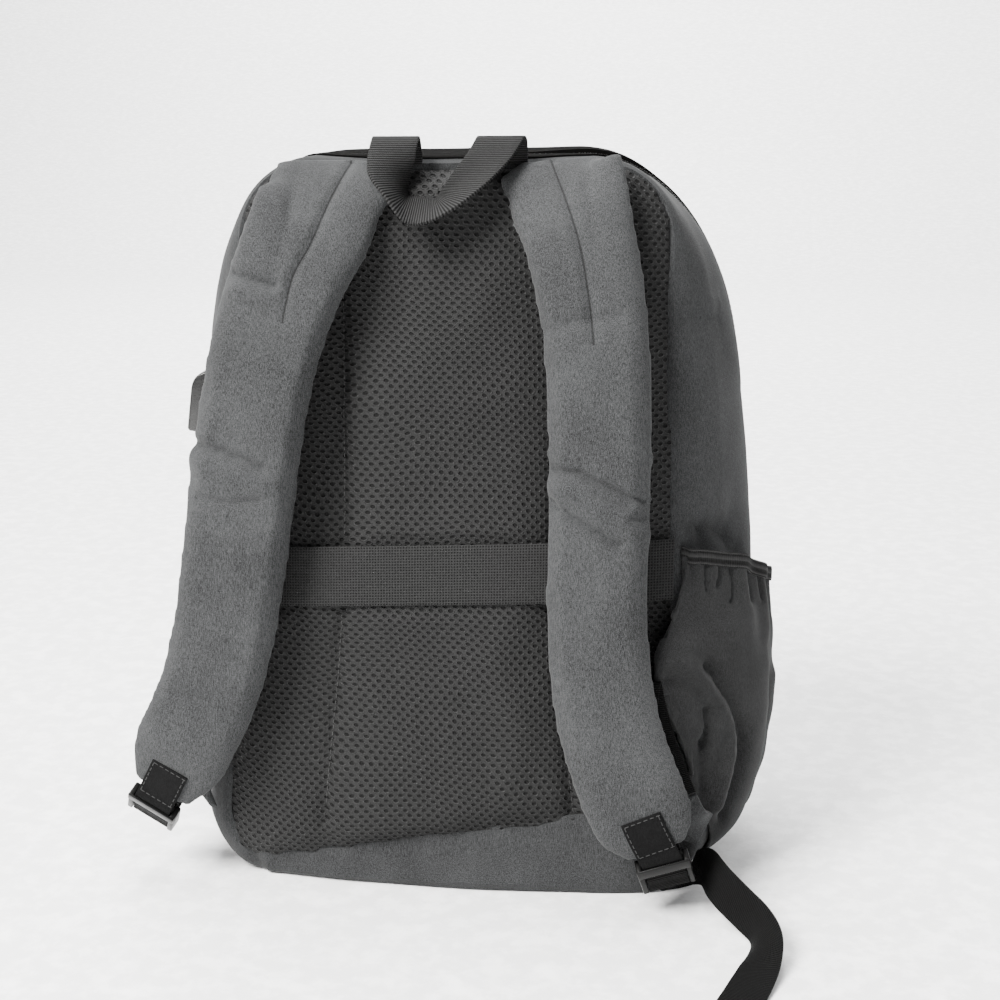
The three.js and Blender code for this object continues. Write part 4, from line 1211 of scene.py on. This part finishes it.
def pocketSkin(u, v):
    foot = lerp(pocketForm["footBack"], pocketForm["footFront"], smoothstep(u, 0, pocketForm["footEnd"]))
    height = lerp(foot, pocketMouth(u) - pocketForm["binding"] * pocketForm["underBinding"], v)
    return pocketPoint(u, height, pocketOff(u, v) + pocketForm["clothOff"], v)


def makePocket(form):
    bm = layGrid(form["steps"], pocketSkin, lambda u, v: (u, v))
    faceAway(bm, form["inside"])
    smoothOut(bm, [vert for vert in bm.verts if not vert.is_boundary], form["smoothing"])
    ruffle(bm, form["unevenness"], form["seed"])
    pressFolds(bm, [(width, rise, [pocketSkin(u, v) for u, v in line]) for width, rise, line in form["folds"]])
    area = sum(face.calc_area() for face in bm.faces)
    piece = addPiece("sidePocketCloth", bm, shadedPocketFinish, "grey_cloth", "side_pocket_right")
    thicken(piece, form["wall"], -1)
    settle(piece, 180)
    return area


def bindingPoint(u, v):  # a flat oval section with ribs, swept along the mouth
    form = pocketForm
    height = pocketMouth(u) - form["binding"] / 2
    thick = form["bindingThick"] * lerp(form["bindingEnd"], 1, smoothstep(min(u, 1 - u), 0, form["bindingTaper"]))
    over, least = form["bindingOff"]
    off = max(pocketOff(u, 1) + over, least) + thick / 2
    middle = pocketPoint(u, height, off, 1)
    ahead = pocketPoint(min(u + 0.01, 1), height, off, 1) - pocketPoint(max(u - 0.01, 0), height, off, 1)
    out = Vector((ahead.y, -ahead.x, 0)).normalized()
    turn = 2 * math.pi * v
    flat, tall = (math.copysign(abs(x) ** form["bindingSquare"], x) for x in (math.cos(turn), math.sin(turn)))
    return middle + out * flat * thick / 2 + Vector((0, 0, tall * form["binding"] / 2))


def makeBinding(form):
    length = lengthsAlong([bindingPoint(i / 60, 0) for i in range(61)])[-1]
    bm = layGrid(form["bindingSteps"], bindingPoint, lambda u, v: (u * length * mm, v * 2 * form["binding"] * mm))
    bmesh.ops.holes_fill(bm, edges=bm.edges, sides=0)
    bmesh.ops.recalc_face_normals(bm, faces=bm.faces)
    addPiece("pocketElastic", bm, elasticFinish, "black_webbing", "pocket_binding_right")


print("pocket cloth area", round(makePocket(pocketForm), 4))
makeBinding(pocketForm)
print("pocket made")

# flat webbing: rows of x, y, z and the width's direction
ribbonForm = {"step": 1.6, "across": 6, "ease": 3, "fine": 40, "edge": 0.25, "edgeSteps": 2, "edgeAngle": 50}


def resample(rows):  # evenly spaced places along the rows, with their widths' directions
    points = [Vector(row[:3]) for row in rows]
    last = len(points) - 1
    sides = [Vector(row[3:6]).normalized() for row in rows]
    fine = ribbonForm["fine"]
    run = lengthsAlong([pathPoint(points, i / (fine * last)) for i in range(fine * last + 1)])
    count = max(int(run[-1] / ribbonForm["step"]), 8)
    places, across = [], []
    for i in range(count + 1):
        share = placeAt(run, run[-1] * i / count) / fine
        low = min(int(share), last - 1)
        places.append(pathPoint(points, min(share / last, 1)))
        across.append(sides[low].lerp(sides[low + 1], share - low).normalized())
    near = ribbonForm["ease"]
    eased = [sum(across[max(i - near, 0):i + near + 1], Vector()).normalized() for i in range(count + 1)]
    return places, eased, run[-1]


def makeRibbon(name, rows, width, thick, finish, slot, node, halves=None):
    places, across, length = resample(rows)
    count = len(places) - 1
    half = columnCurve([(i / (len(rows) - 1), h) for i, h in enumerate(halves)], 1) if halves else None

    def place(u, v):
        i = round(u * count)
        reach = half(u) * 2 if half else width
        return places[i] + across[i] * (v - 0.5) * reach

    bm = layGrid((count, ribbonForm["across"]), place, lambda u, v: (u * length * mm, v * width * mm))
    piece = addPiece(name, bm, finish, slot, *([node] if node else []))
    thicken(piece, thick, 0)
    rim = piece.modifiers.new("soft edge", "BEVEL")
    rim.width = ribbonForm["edge"] * thick * mm
    rim.segments = ribbonForm["edgeSteps"]
    rim.limit_method = "ANGLE"
    rim.angle_limit = math.radians(ribbonForm["edgeAngle"])
    settle(piece, ribbonForm["edgeAngle"])
    return places, across


handleForm = {
    "width": 28,
    "thick": 1.9,
    "rows": [
        (-31, -36.4, 445.2, 1, 0, 0), (-31, -38.5, 455, 1, 0, 0), (-31, -43.5, 461, 1, 0, 0),
        (-31, -49.5, 458.5, 1, 0.02, 0), (-32, -54, 450, 0.97, 0.2, 0), (-32.6, -57, 441, 0.77, 0.64, 0),
        (-31.2, -58.6, 435.5, 0.55, 0.83, 0), (-29, -59.5, 430.5, 0.34, 0.94, 0.02),
        (-26.8, -60, 426, 0.15, 0.97, 0.12), (-24, -60.3, 422.2, 0.03, 0.92, 0.36),
        (-19.5, -60.3, 420, -0.02, 0.85, 0.52), (-13, -60.3, 419.6, -0.05, 0.86, 0.5),
        (-5.5, -60.2, 421, -0.2, 0.91, 0.34), (2, -59.8, 425, -0.55, 0.82, 0.12),
        (8.5, -59, 431, -0.8, 0.6, 0.03), (14.2, -57.8, 437, -0.93, 0.37, 0), (19.8, -55.8, 443.5, -0.985, 0.17, 0),
        (25, -53, 450, -1, 0.05, 0), (29, -49.2, 456.5, -1, 0.02, 0), (31.3, -44.5, 461, -1, 0, 0),
        (32.2, -40.5, 459.5, -1, 0, 0), (32.3, -38.3, 454, -1, 0, 0), (32, -36.4, 445.2, -1, 0, 0),
    ],
}
makeRibbon("handleWebbing", handleForm["rows"], handleForm["width"], handleForm["thick"], handleFinish,
           "black_webbing", "handle")


def bandRows(form):
    rows = []
    for i in range(form["rows"] + 1):
        x = lerp(-form["half"], form["half"], i / form["rows"])
        z = bandMiddle(x)
        rows.append((x, bandY(x, z), z, 0, bagForm["lean"], 1))
    return rows


makeRibbon("luggageBandWebbing", bandRows(bandForm), bandForm["width"], bandForm["thick"], bandFinish,
           "black_webbing", "luggage_band")

strapEnds = {
    "webbingWidth": 25,
    "webbingThick": 1.5,
    "tabThick": 1.6,
    "tabOff": 1.1,
    "anchorThick": 3,
    "buckleDrop": 7,
    "behindStrap": [(20, -9.6), (8, -10)],
    "buckleThread": [(-6.6, -4.6), (-7.6, 0), (-8.2, 3.6), (-10.6, 5), (-16, 4.8), (-21.6, 5), (-24.2, 3),
                     (-24.6, -0.5), (-24.4, -5)],
    "tabLoop": [(2.6, 4.7), (0, 4.6), (-2.6, 4.3), (-4.3, 2.6), (-4.6, 0), (-4.3, -2.6), (-2.6, -4.3), (0, -4.7)],
    "left": {
        "buckleTurn": 40,
        "buckleSwing": 0,
        "tabPlaces": (0.92, 0.945, 0.97, 1),
        "lead": [
            (-164.9, -84.4, 72.8, 0.98, -0.12, 0.05), (-163.5, -84.5, 80, 0.98, -0.05, -0.12),
            (-160.3, -84, 90, 0.93, 0, -0.3), (-157.4, -83.6, 98.5, 0.88, 0, -0.45),
            (-156.2, -84.2, 102.6, 0.86, 0, -0.5), (-155.7, -86.2, 104.4, 0.86, 0, -0.5),
            (-156.2, -88.2, 102.6, 0.86, 0, -0.5), (-158.4, -88.8, 98, 0.86, 0, -0.5),
        ],
        "tailInBuckle": [(-21.5, -8.5), (-17.5, -13.5), (-14.5, -19.5)],
        "tail": [],
        "anchor": [
            (-155.8, -73.6, 50, 0.3, -0.2, -0.95), (-163, -81.5, 60, 0.75, -0.1, -0.6),
            (-164.8, -84, 70.5, 0.95, -0.1, 0),
        ],
        "anchorHalves": (9, 11, 12.5),
    },
    "right": {
        "buckleTurn": 22,
        "buckleSwing": -9,
        "tabPlaces": (0.893, 0.93, 0.97, 1),
        "lead": [
            (141.5, -82.4, 68.5, 0.93, 0.05, 0.36), (135.5, -84, 85, 0.94, 0.05, 0.3),
            (127.5, -84.5, 108, 0.96, 0.05, 0.2), (121.5, -84, 130, 0.98, 0, 0.15), (119.8, -84, 138, 0.98, 0, 0.15),
            (119.3, -84.8, 141, 0.98, 0, 0.15), (119, -86.7, 142.3, 0.98, 0, 0.15), (118.7, -88.6, 141, 0.98, 0, 0.15),
            (118.2, -89.4, 138, 0.98, 0, 0.15), (117.5, -94.5, 100, 0.97, 0, 0.25), (122, -100, 74, 0.95, 0, 0.3),
        ],
        "tailInBuckle": [],
        "tail": [
            (144.8, -87.5, 14.6, 0.92, 0.05, 0.38), (147.2, -80.5, 15.2, 0.72, 0, 0.7),
            (150.2, -74.5, 16.2, 0.34, 0, 0.94), (154.8, -71.2, 17.6, 0.12, 0, 0.99),
            (159.8, -74, 19.5, 0.15, 0.05, 0.98), (162.8, -82, 21.5, 0.25, 0.1, 0.96),
            (166.2, -94, 22.2, 0.32, 0.15, 0.94), (172.5, -105, 20, 0.33, 0.15, 0.93),
            (184, -118, 15, 0.3, 0.15, 0.94), (192.5, -131, 12.6, 0.3, 0.1, 0.94),
            (195.5, -147, 9.4, 0.74, 0, 0.64), (192.5, -163, 4.6, 0.95, -0.2, 0.26),
            (186.5, -182, 1.7, 0.92, -0.39, 0.04), (179, -204, 1, 0.92, -0.39, 0), (170.5, -228, 1, 0.92, -0.39, 0),
        ],
        "anchor": [
            (158.6, -68.2, 42, 0.35, 0.3, 0.88), (149.5, -79.8, 52.5, 0.8, 0.15, 0.5),
            (142.2, -82.2, 66.5, 0.93, 0.05, 0.36),
        ],
        "anchorHalves": (11, 12, 12.5),
    },
}


def onStrap(rows, places, face):
    thick = strapCurve(rows, 4)
    out = []
    for at in places:
        middle, down, across, normal = strapFrame(rows, at)
        spot = middle + normal * face * (thick(at) / 2 + strapEnds["tabOff"])
        out.append((*spot, *(-across)))
    return out


def strapEndFrame(rows):  # across, along and out of the strap at its lower end
    end, down, across, out = strapFrame(rows, 1)
    return axesAt(end + down * strapEnds["buckleDrop"], out.cross(down), -down, out)


def inFrame(placed, rows):
    across = (placed.to_3x3() @ Vector((1, 0, 0))).normalized()
    return [(*(placed @ Vector((0, along, out))), *across) for along, out in rows]


def makeStrapEnd(hand):
    form, rows, name = strapEnds[hand], strapForm[hand]["rows"], hand.capitalize()
    end = strapEndFrame(rows)
    buckle = end @ Matrix.Rotation(math.radians(form["buckleTurn"]), 4, "X")
    buckle = buckle @ Matrix.Rotation(math.radians(form["buckleSwing"]), 4, "Z")
    route = form["lead"] + inFrame(end, strapEnds["behindStrap"]) + inFrame(buckle, strapEnds["buckleThread"])
    route += inFrame(buckle, form["tailInBuckle"]) + form["tail"]
    width = strapEnds["webbingWidth"]
    webbed = makeRibbon("webbingRun" + name, route, width, strapEnds["webbingThick"], webbingFinish, "black_webbing",
                        "webbing_" + hand)
    tab = onStrap(rows, form["tabPlaces"], 1) + inFrame(buckle, strapEnds["tabLoop"]) + onStrap(rows, (1, 0.96), -1)
    tabbed = makeRibbon("strapTab" + name, tab, width, strapEnds["tabThick"], tabFinish, "black_webbing",
                        "strap_tab_" + hand)
    makeRibbon("anchorWedge" + name, form["anchor"], width, strapEnds["anchorThick"], wedgeFinish, "strap_cloth",
               "anchor_" + hand, form["anchorHalves"])
    return buckle, webbed, tabbed


wedgeFinish = heatherCloth("wedgeHeather", strapCloth)
tabFinish = heatherCloth("tabHeather", tabCloth)
buckles = {}
for hand in ("left", "right"):
    buckles[hand] = makeStrapEnd(hand)
print("webbing made")

# sewing: rows of short stitches on the webbing and the panel
sewing = {
    "length": 2.6,
    "gap": 1.4,
    "thick": 0.55,
    "round": 0.18,
    "lift": 0.1,
    "tabInset": 1.7,
    "tabEnd": 25,
    "hem": 20,
    "hemLift": -2.4,
    "hemGap": 0.15,
    "channel": (52, 424, 3),
    "channelLift": 0.15,
    "bandGap": 23,
    "behind": -200,
}


def addStitches(bm, line, normals):  # stitches along a line of points
    run, due = 0.0, sewing["gap"]
    for (a, b), normal in zip(zip(line, line[1:]), normals):
        along = b - a
        size = along.length
        if size < 1e-6:
            continue
        along = along / size
        while due < run + size:
            side = along.cross(normal).normalized()
            spot = axesAt(a + along * (due - run) + normal * sewing["lift"], side, along, side.cross(along))
            addBlock(bm, spot, (sewing["thick"], sewing["length"], sewing["thick"]), sewing["round"], 1)
            due += sewing["length"] + sewing["gap"]
        run += size


def onRibbon(places, across, i, aside, lift):
    along = places[min(i + 1, len(places) - 1)] - places[max(i - 1, 0)]
    out = across[i].cross(along).normalized()
    return places[i] + across[i] * aside + out * lift, out


def ribbonStitches(bm, places, across, first, last, half, lift):  # a sewn box on a ribbon
    sides = [[(i, aside) for i in range(first, last + 1)] for aside in (-half, half)]
    ends = [[(i, lerp(-half, half, k / 8)) for k in range(9)] for i in (first, last)]
    for row in sides + ends:
        spots = [onRibbon(places, across, i, aside, lift) for i, aside in row]
        addStitches(bm, [spot for spot, out in spots], [out for spot, out in spots])


def makeStitches():
    bm = bmesh.new()
    inset, step = sewing["tabInset"], ribbonForm["step"]
    half = strapEnds["webbingWidth"] / 2 - inset
    for hand in ("left", "right"):
        lift = -strapEnds["tabThick"] / 2 - sewing["lift"]
        ribbonStitches(bm, *buckles[hand][2], int(inset / step), int(sewing["tabEnd"] / step), half, lift)
    last = len(buckles["right"][1][0]) - 3
    first = last + 3 - int(sewing["hem"] / step)
    ribbonStitches(bm, *buckles["right"][1], first, last, half, sewing["hemLift"])
    toMetres(bm)
    addPiece("webbingStitches", bm, threadFinish, "black_webbing")


def makeChannelStitches(pad):  # sewn through the pad, on both sides of the band
    bm = bmesh.new()
    bpy.context.view_layer.update()
    for side in (-1, 1):
        line, normals = [], []
        for z in range(*sewing["channel"]):
            x = side * channelX(z)
            if abs(z - bandMiddle(x)) < sewing["bandGap"]:
                addStitches(bm, line, normals)
                line, normals = [], []
                continue
            hit, spot, normal, face = pad.ray_cast(Vector((x, sewing["behind"], z)) * mm, Vector((0, 1, 0)))
            if hit:
                line.append(spot / mm + normal * sewing["channelLift"])
                normals.append(normal)
        addStitches(bm, line, normals)
    toMetres(bm)
    addPiece("panelStitches", bm, greyThread, "black_mesh")


def makeHem():  # the free end is folded over and sewn
    places, across = buckles["right"][1]
    width, thick = strapEnds["webbingWidth"], strapEnds["webbingThick"]
    first = len(places) - 1 - int(sewing["hem"] / ribbonForm["step"])
    lift = -thick - sewing["hemGap"]
    rows = [(*onRibbon(places, across, i, 0, lift)[0], *across[i]) for i in range(first, len(places), 3)]
    makeRibbon("webbingHem", rows, width, thick, webbingFinish, "black_webbing", None)


makeHem()
makeStitches()
makeChannelStitches(panelPad)
print("stitches made")

# ladder buckles, made over the plain ones
buckleForm = {
    "width": 33,
    "slot": 25.8,
    "rail": {"thick": 9.6, "out": 2, "round": 1.0},
    "lip": {"along": -1.4, "length": 7.6, "out": 6.6, "thick": 1.5, "round": 0.6},
    # ends, thickness and place out of each bar
    "bars": [(2, -2, 4.05, 0), (-10, -13.5, 3.348, -0.5), (-18.5, -22, 3.348, 0)],
    "barRound": 0.8,
    "segments": 3,
}


def makeBuckle(hand, placed):
    form = buckleForm
    bm = bmesh.new()
    top, foot = form["bars"][0][0], form["bars"][-1][1]
    wide, rail, lip = (form["width"] - form["slot"]) / 2, form["rail"], form["lip"]
    blocks = []  # place, size and rounding
    for side in (-1, 1):
        spot = (side * (form["slot"] + wide) / 2, (top + foot) / 2, rail["out"])
        blocks.append((spot, (wide, top - foot, rail["thick"]), rail["round"]))
    blocks.append(((0, lip["along"], lip["out"]), (form["width"], lip["length"], lip["thick"]), lip["round"]))
    for high, low, thick, out in form["bars"]:
        blocks.append(((0, (high + low) / 2, out), (form["slot"] + 1, high - low, thick), form["barRound"]))
    for spot, size, rounding in blocks:
        addBlock(bm, placed @ Matrix.Translation(spot), size, rounding, form["segments"])
    toMetres(bm)
    crisp(addPiece("buckle" + hand.capitalize(), bm, plasticFinish, "buckle_plastic", "buckle_" + hand), 50)


for hand in ("left", "right"):
    makeBuckle(hand, buckles[hand][0])

# cable port on the left side
portForm = {"flat": 2, "edge": 25, "round": 0.9, "segments": 3}


def makePort(form):
    bm = copyNode("usb_port")
    bmesh.ops.dissolve_limit(bm, angle_limit=math.radians(form["flat"]), verts=bm.verts, edges=bm.edges)
    least = math.radians(form["edge"])
    sharp = [edge for edge in bm.edges if edge.is_manifold and edge.calc_face_angle(0) > least]
    bmesh.ops.bevel(bm, geom=sharp, offset=form["round"] * mm, segments=form["segments"], profile=0.5, affect="EDGES",
                    material=-1, clamp_overlap=True)
    bmesh.ops.recalc_face_normals(bm, faces=bm.faces)
    crisp(addPiece("cablePort", bm, portFinish, "port_plastic", "usb_port"), 40)


makePort(portForm)
print("buckles and port made")

# studio
studio = {
    "floor": (0.86, 0.6),  # shade and roughness
    "sweep": {"half": 3, "ahead": 1.6, "under": 0.0005, "wall": (0, 0.4, 3), "bend": 1.2, "bendSteps": 16},
    "world": 0.8,
    "lamps": [
        # name, place and aim in metres, size, power, colour
        ("keyLight", (-1.1, -1.3, 2.0), (0, 0, 0.2), 1.1, 255, (1, 0.99, 0.97)),
        ("fillLight", (1.6, -1.3, 1.1), (0, 0, 0.2), 1.4, 3, (0.95, 0.97, 1)),
        ("wallLight", (-0.6, 2.0, 3.0), (-0.3, 4.8, 0.8), 2.0, 420, (1, 1, 1)),
        ("topLight", (-0.2, 0.2, 2.1), (0, 0, 0.2), 1.2, 80, (1, 1, 1)),
    ],
}


def makeStudio(form):
    paper = form["sweep"]
    bm = bmesh.new()
    bmesh.ops.create_grid(bm, x_segments=1, y_segments=1, size=paper["half"])
    bmesh.ops.translate(bm, vec=(0, paper["ahead"], -paper["under"]), verts=bm.verts)

    def backEdges():
        far = paper["half"] + paper["ahead"]
        return [edge for edge in bm.edges if all(abs(vert.co.y - far) < 0.01 for vert in edge.verts)]

    raised = bmesh.ops.extrude_edge_only(bm, edges=backEdges())
    rise = [item for item in raised["geom"] if isinstance(item, bmesh.types.BMVert)]
    bmesh.ops.translate(bm, vec=paper["wall"], verts=rise)
    bmesh.ops.bevel(bm, geom=backEdges(), offset=paper["bend"], segments=paper["bendSteps"], profile=0.5,
                    affect="EDGES", material=-1)
    bmesh.ops.recalc_face_normals(bm, faces=bm.faces)
    sweep = linkMesh("floorSweep", bm)
    sweep.data.materials.append(mouldedPlastic("floorPaper", *form["floor"]))
    for name, place, aim, size, power, colour in form["lamps"]:
        lamp = bpy.data.lights.new(name, "AREA")
        lamp.shape = "DISK"
        lamp.size = size
        lamp.energy = power
        lamp.color = colour
        light = bpy.data.objects.new(name, lamp)
        light.location = place
        light.rotation_euler = (Vector(aim) - Vector(place)).to_track_quat("-Z", "Y").to_euler()
        scene.collection.objects.link(light)
    world = bpy.data.worlds.new("paleRoom")
    world.use_nodes = True
    sky = world.node_tree.nodes["Background"].inputs
    sky["Color"].default_value = (1, 1, 1, 1)
    sky["Strength"].default_value = form["world"]
    scene.world = world


makeStudio(studio)
print("studio made")
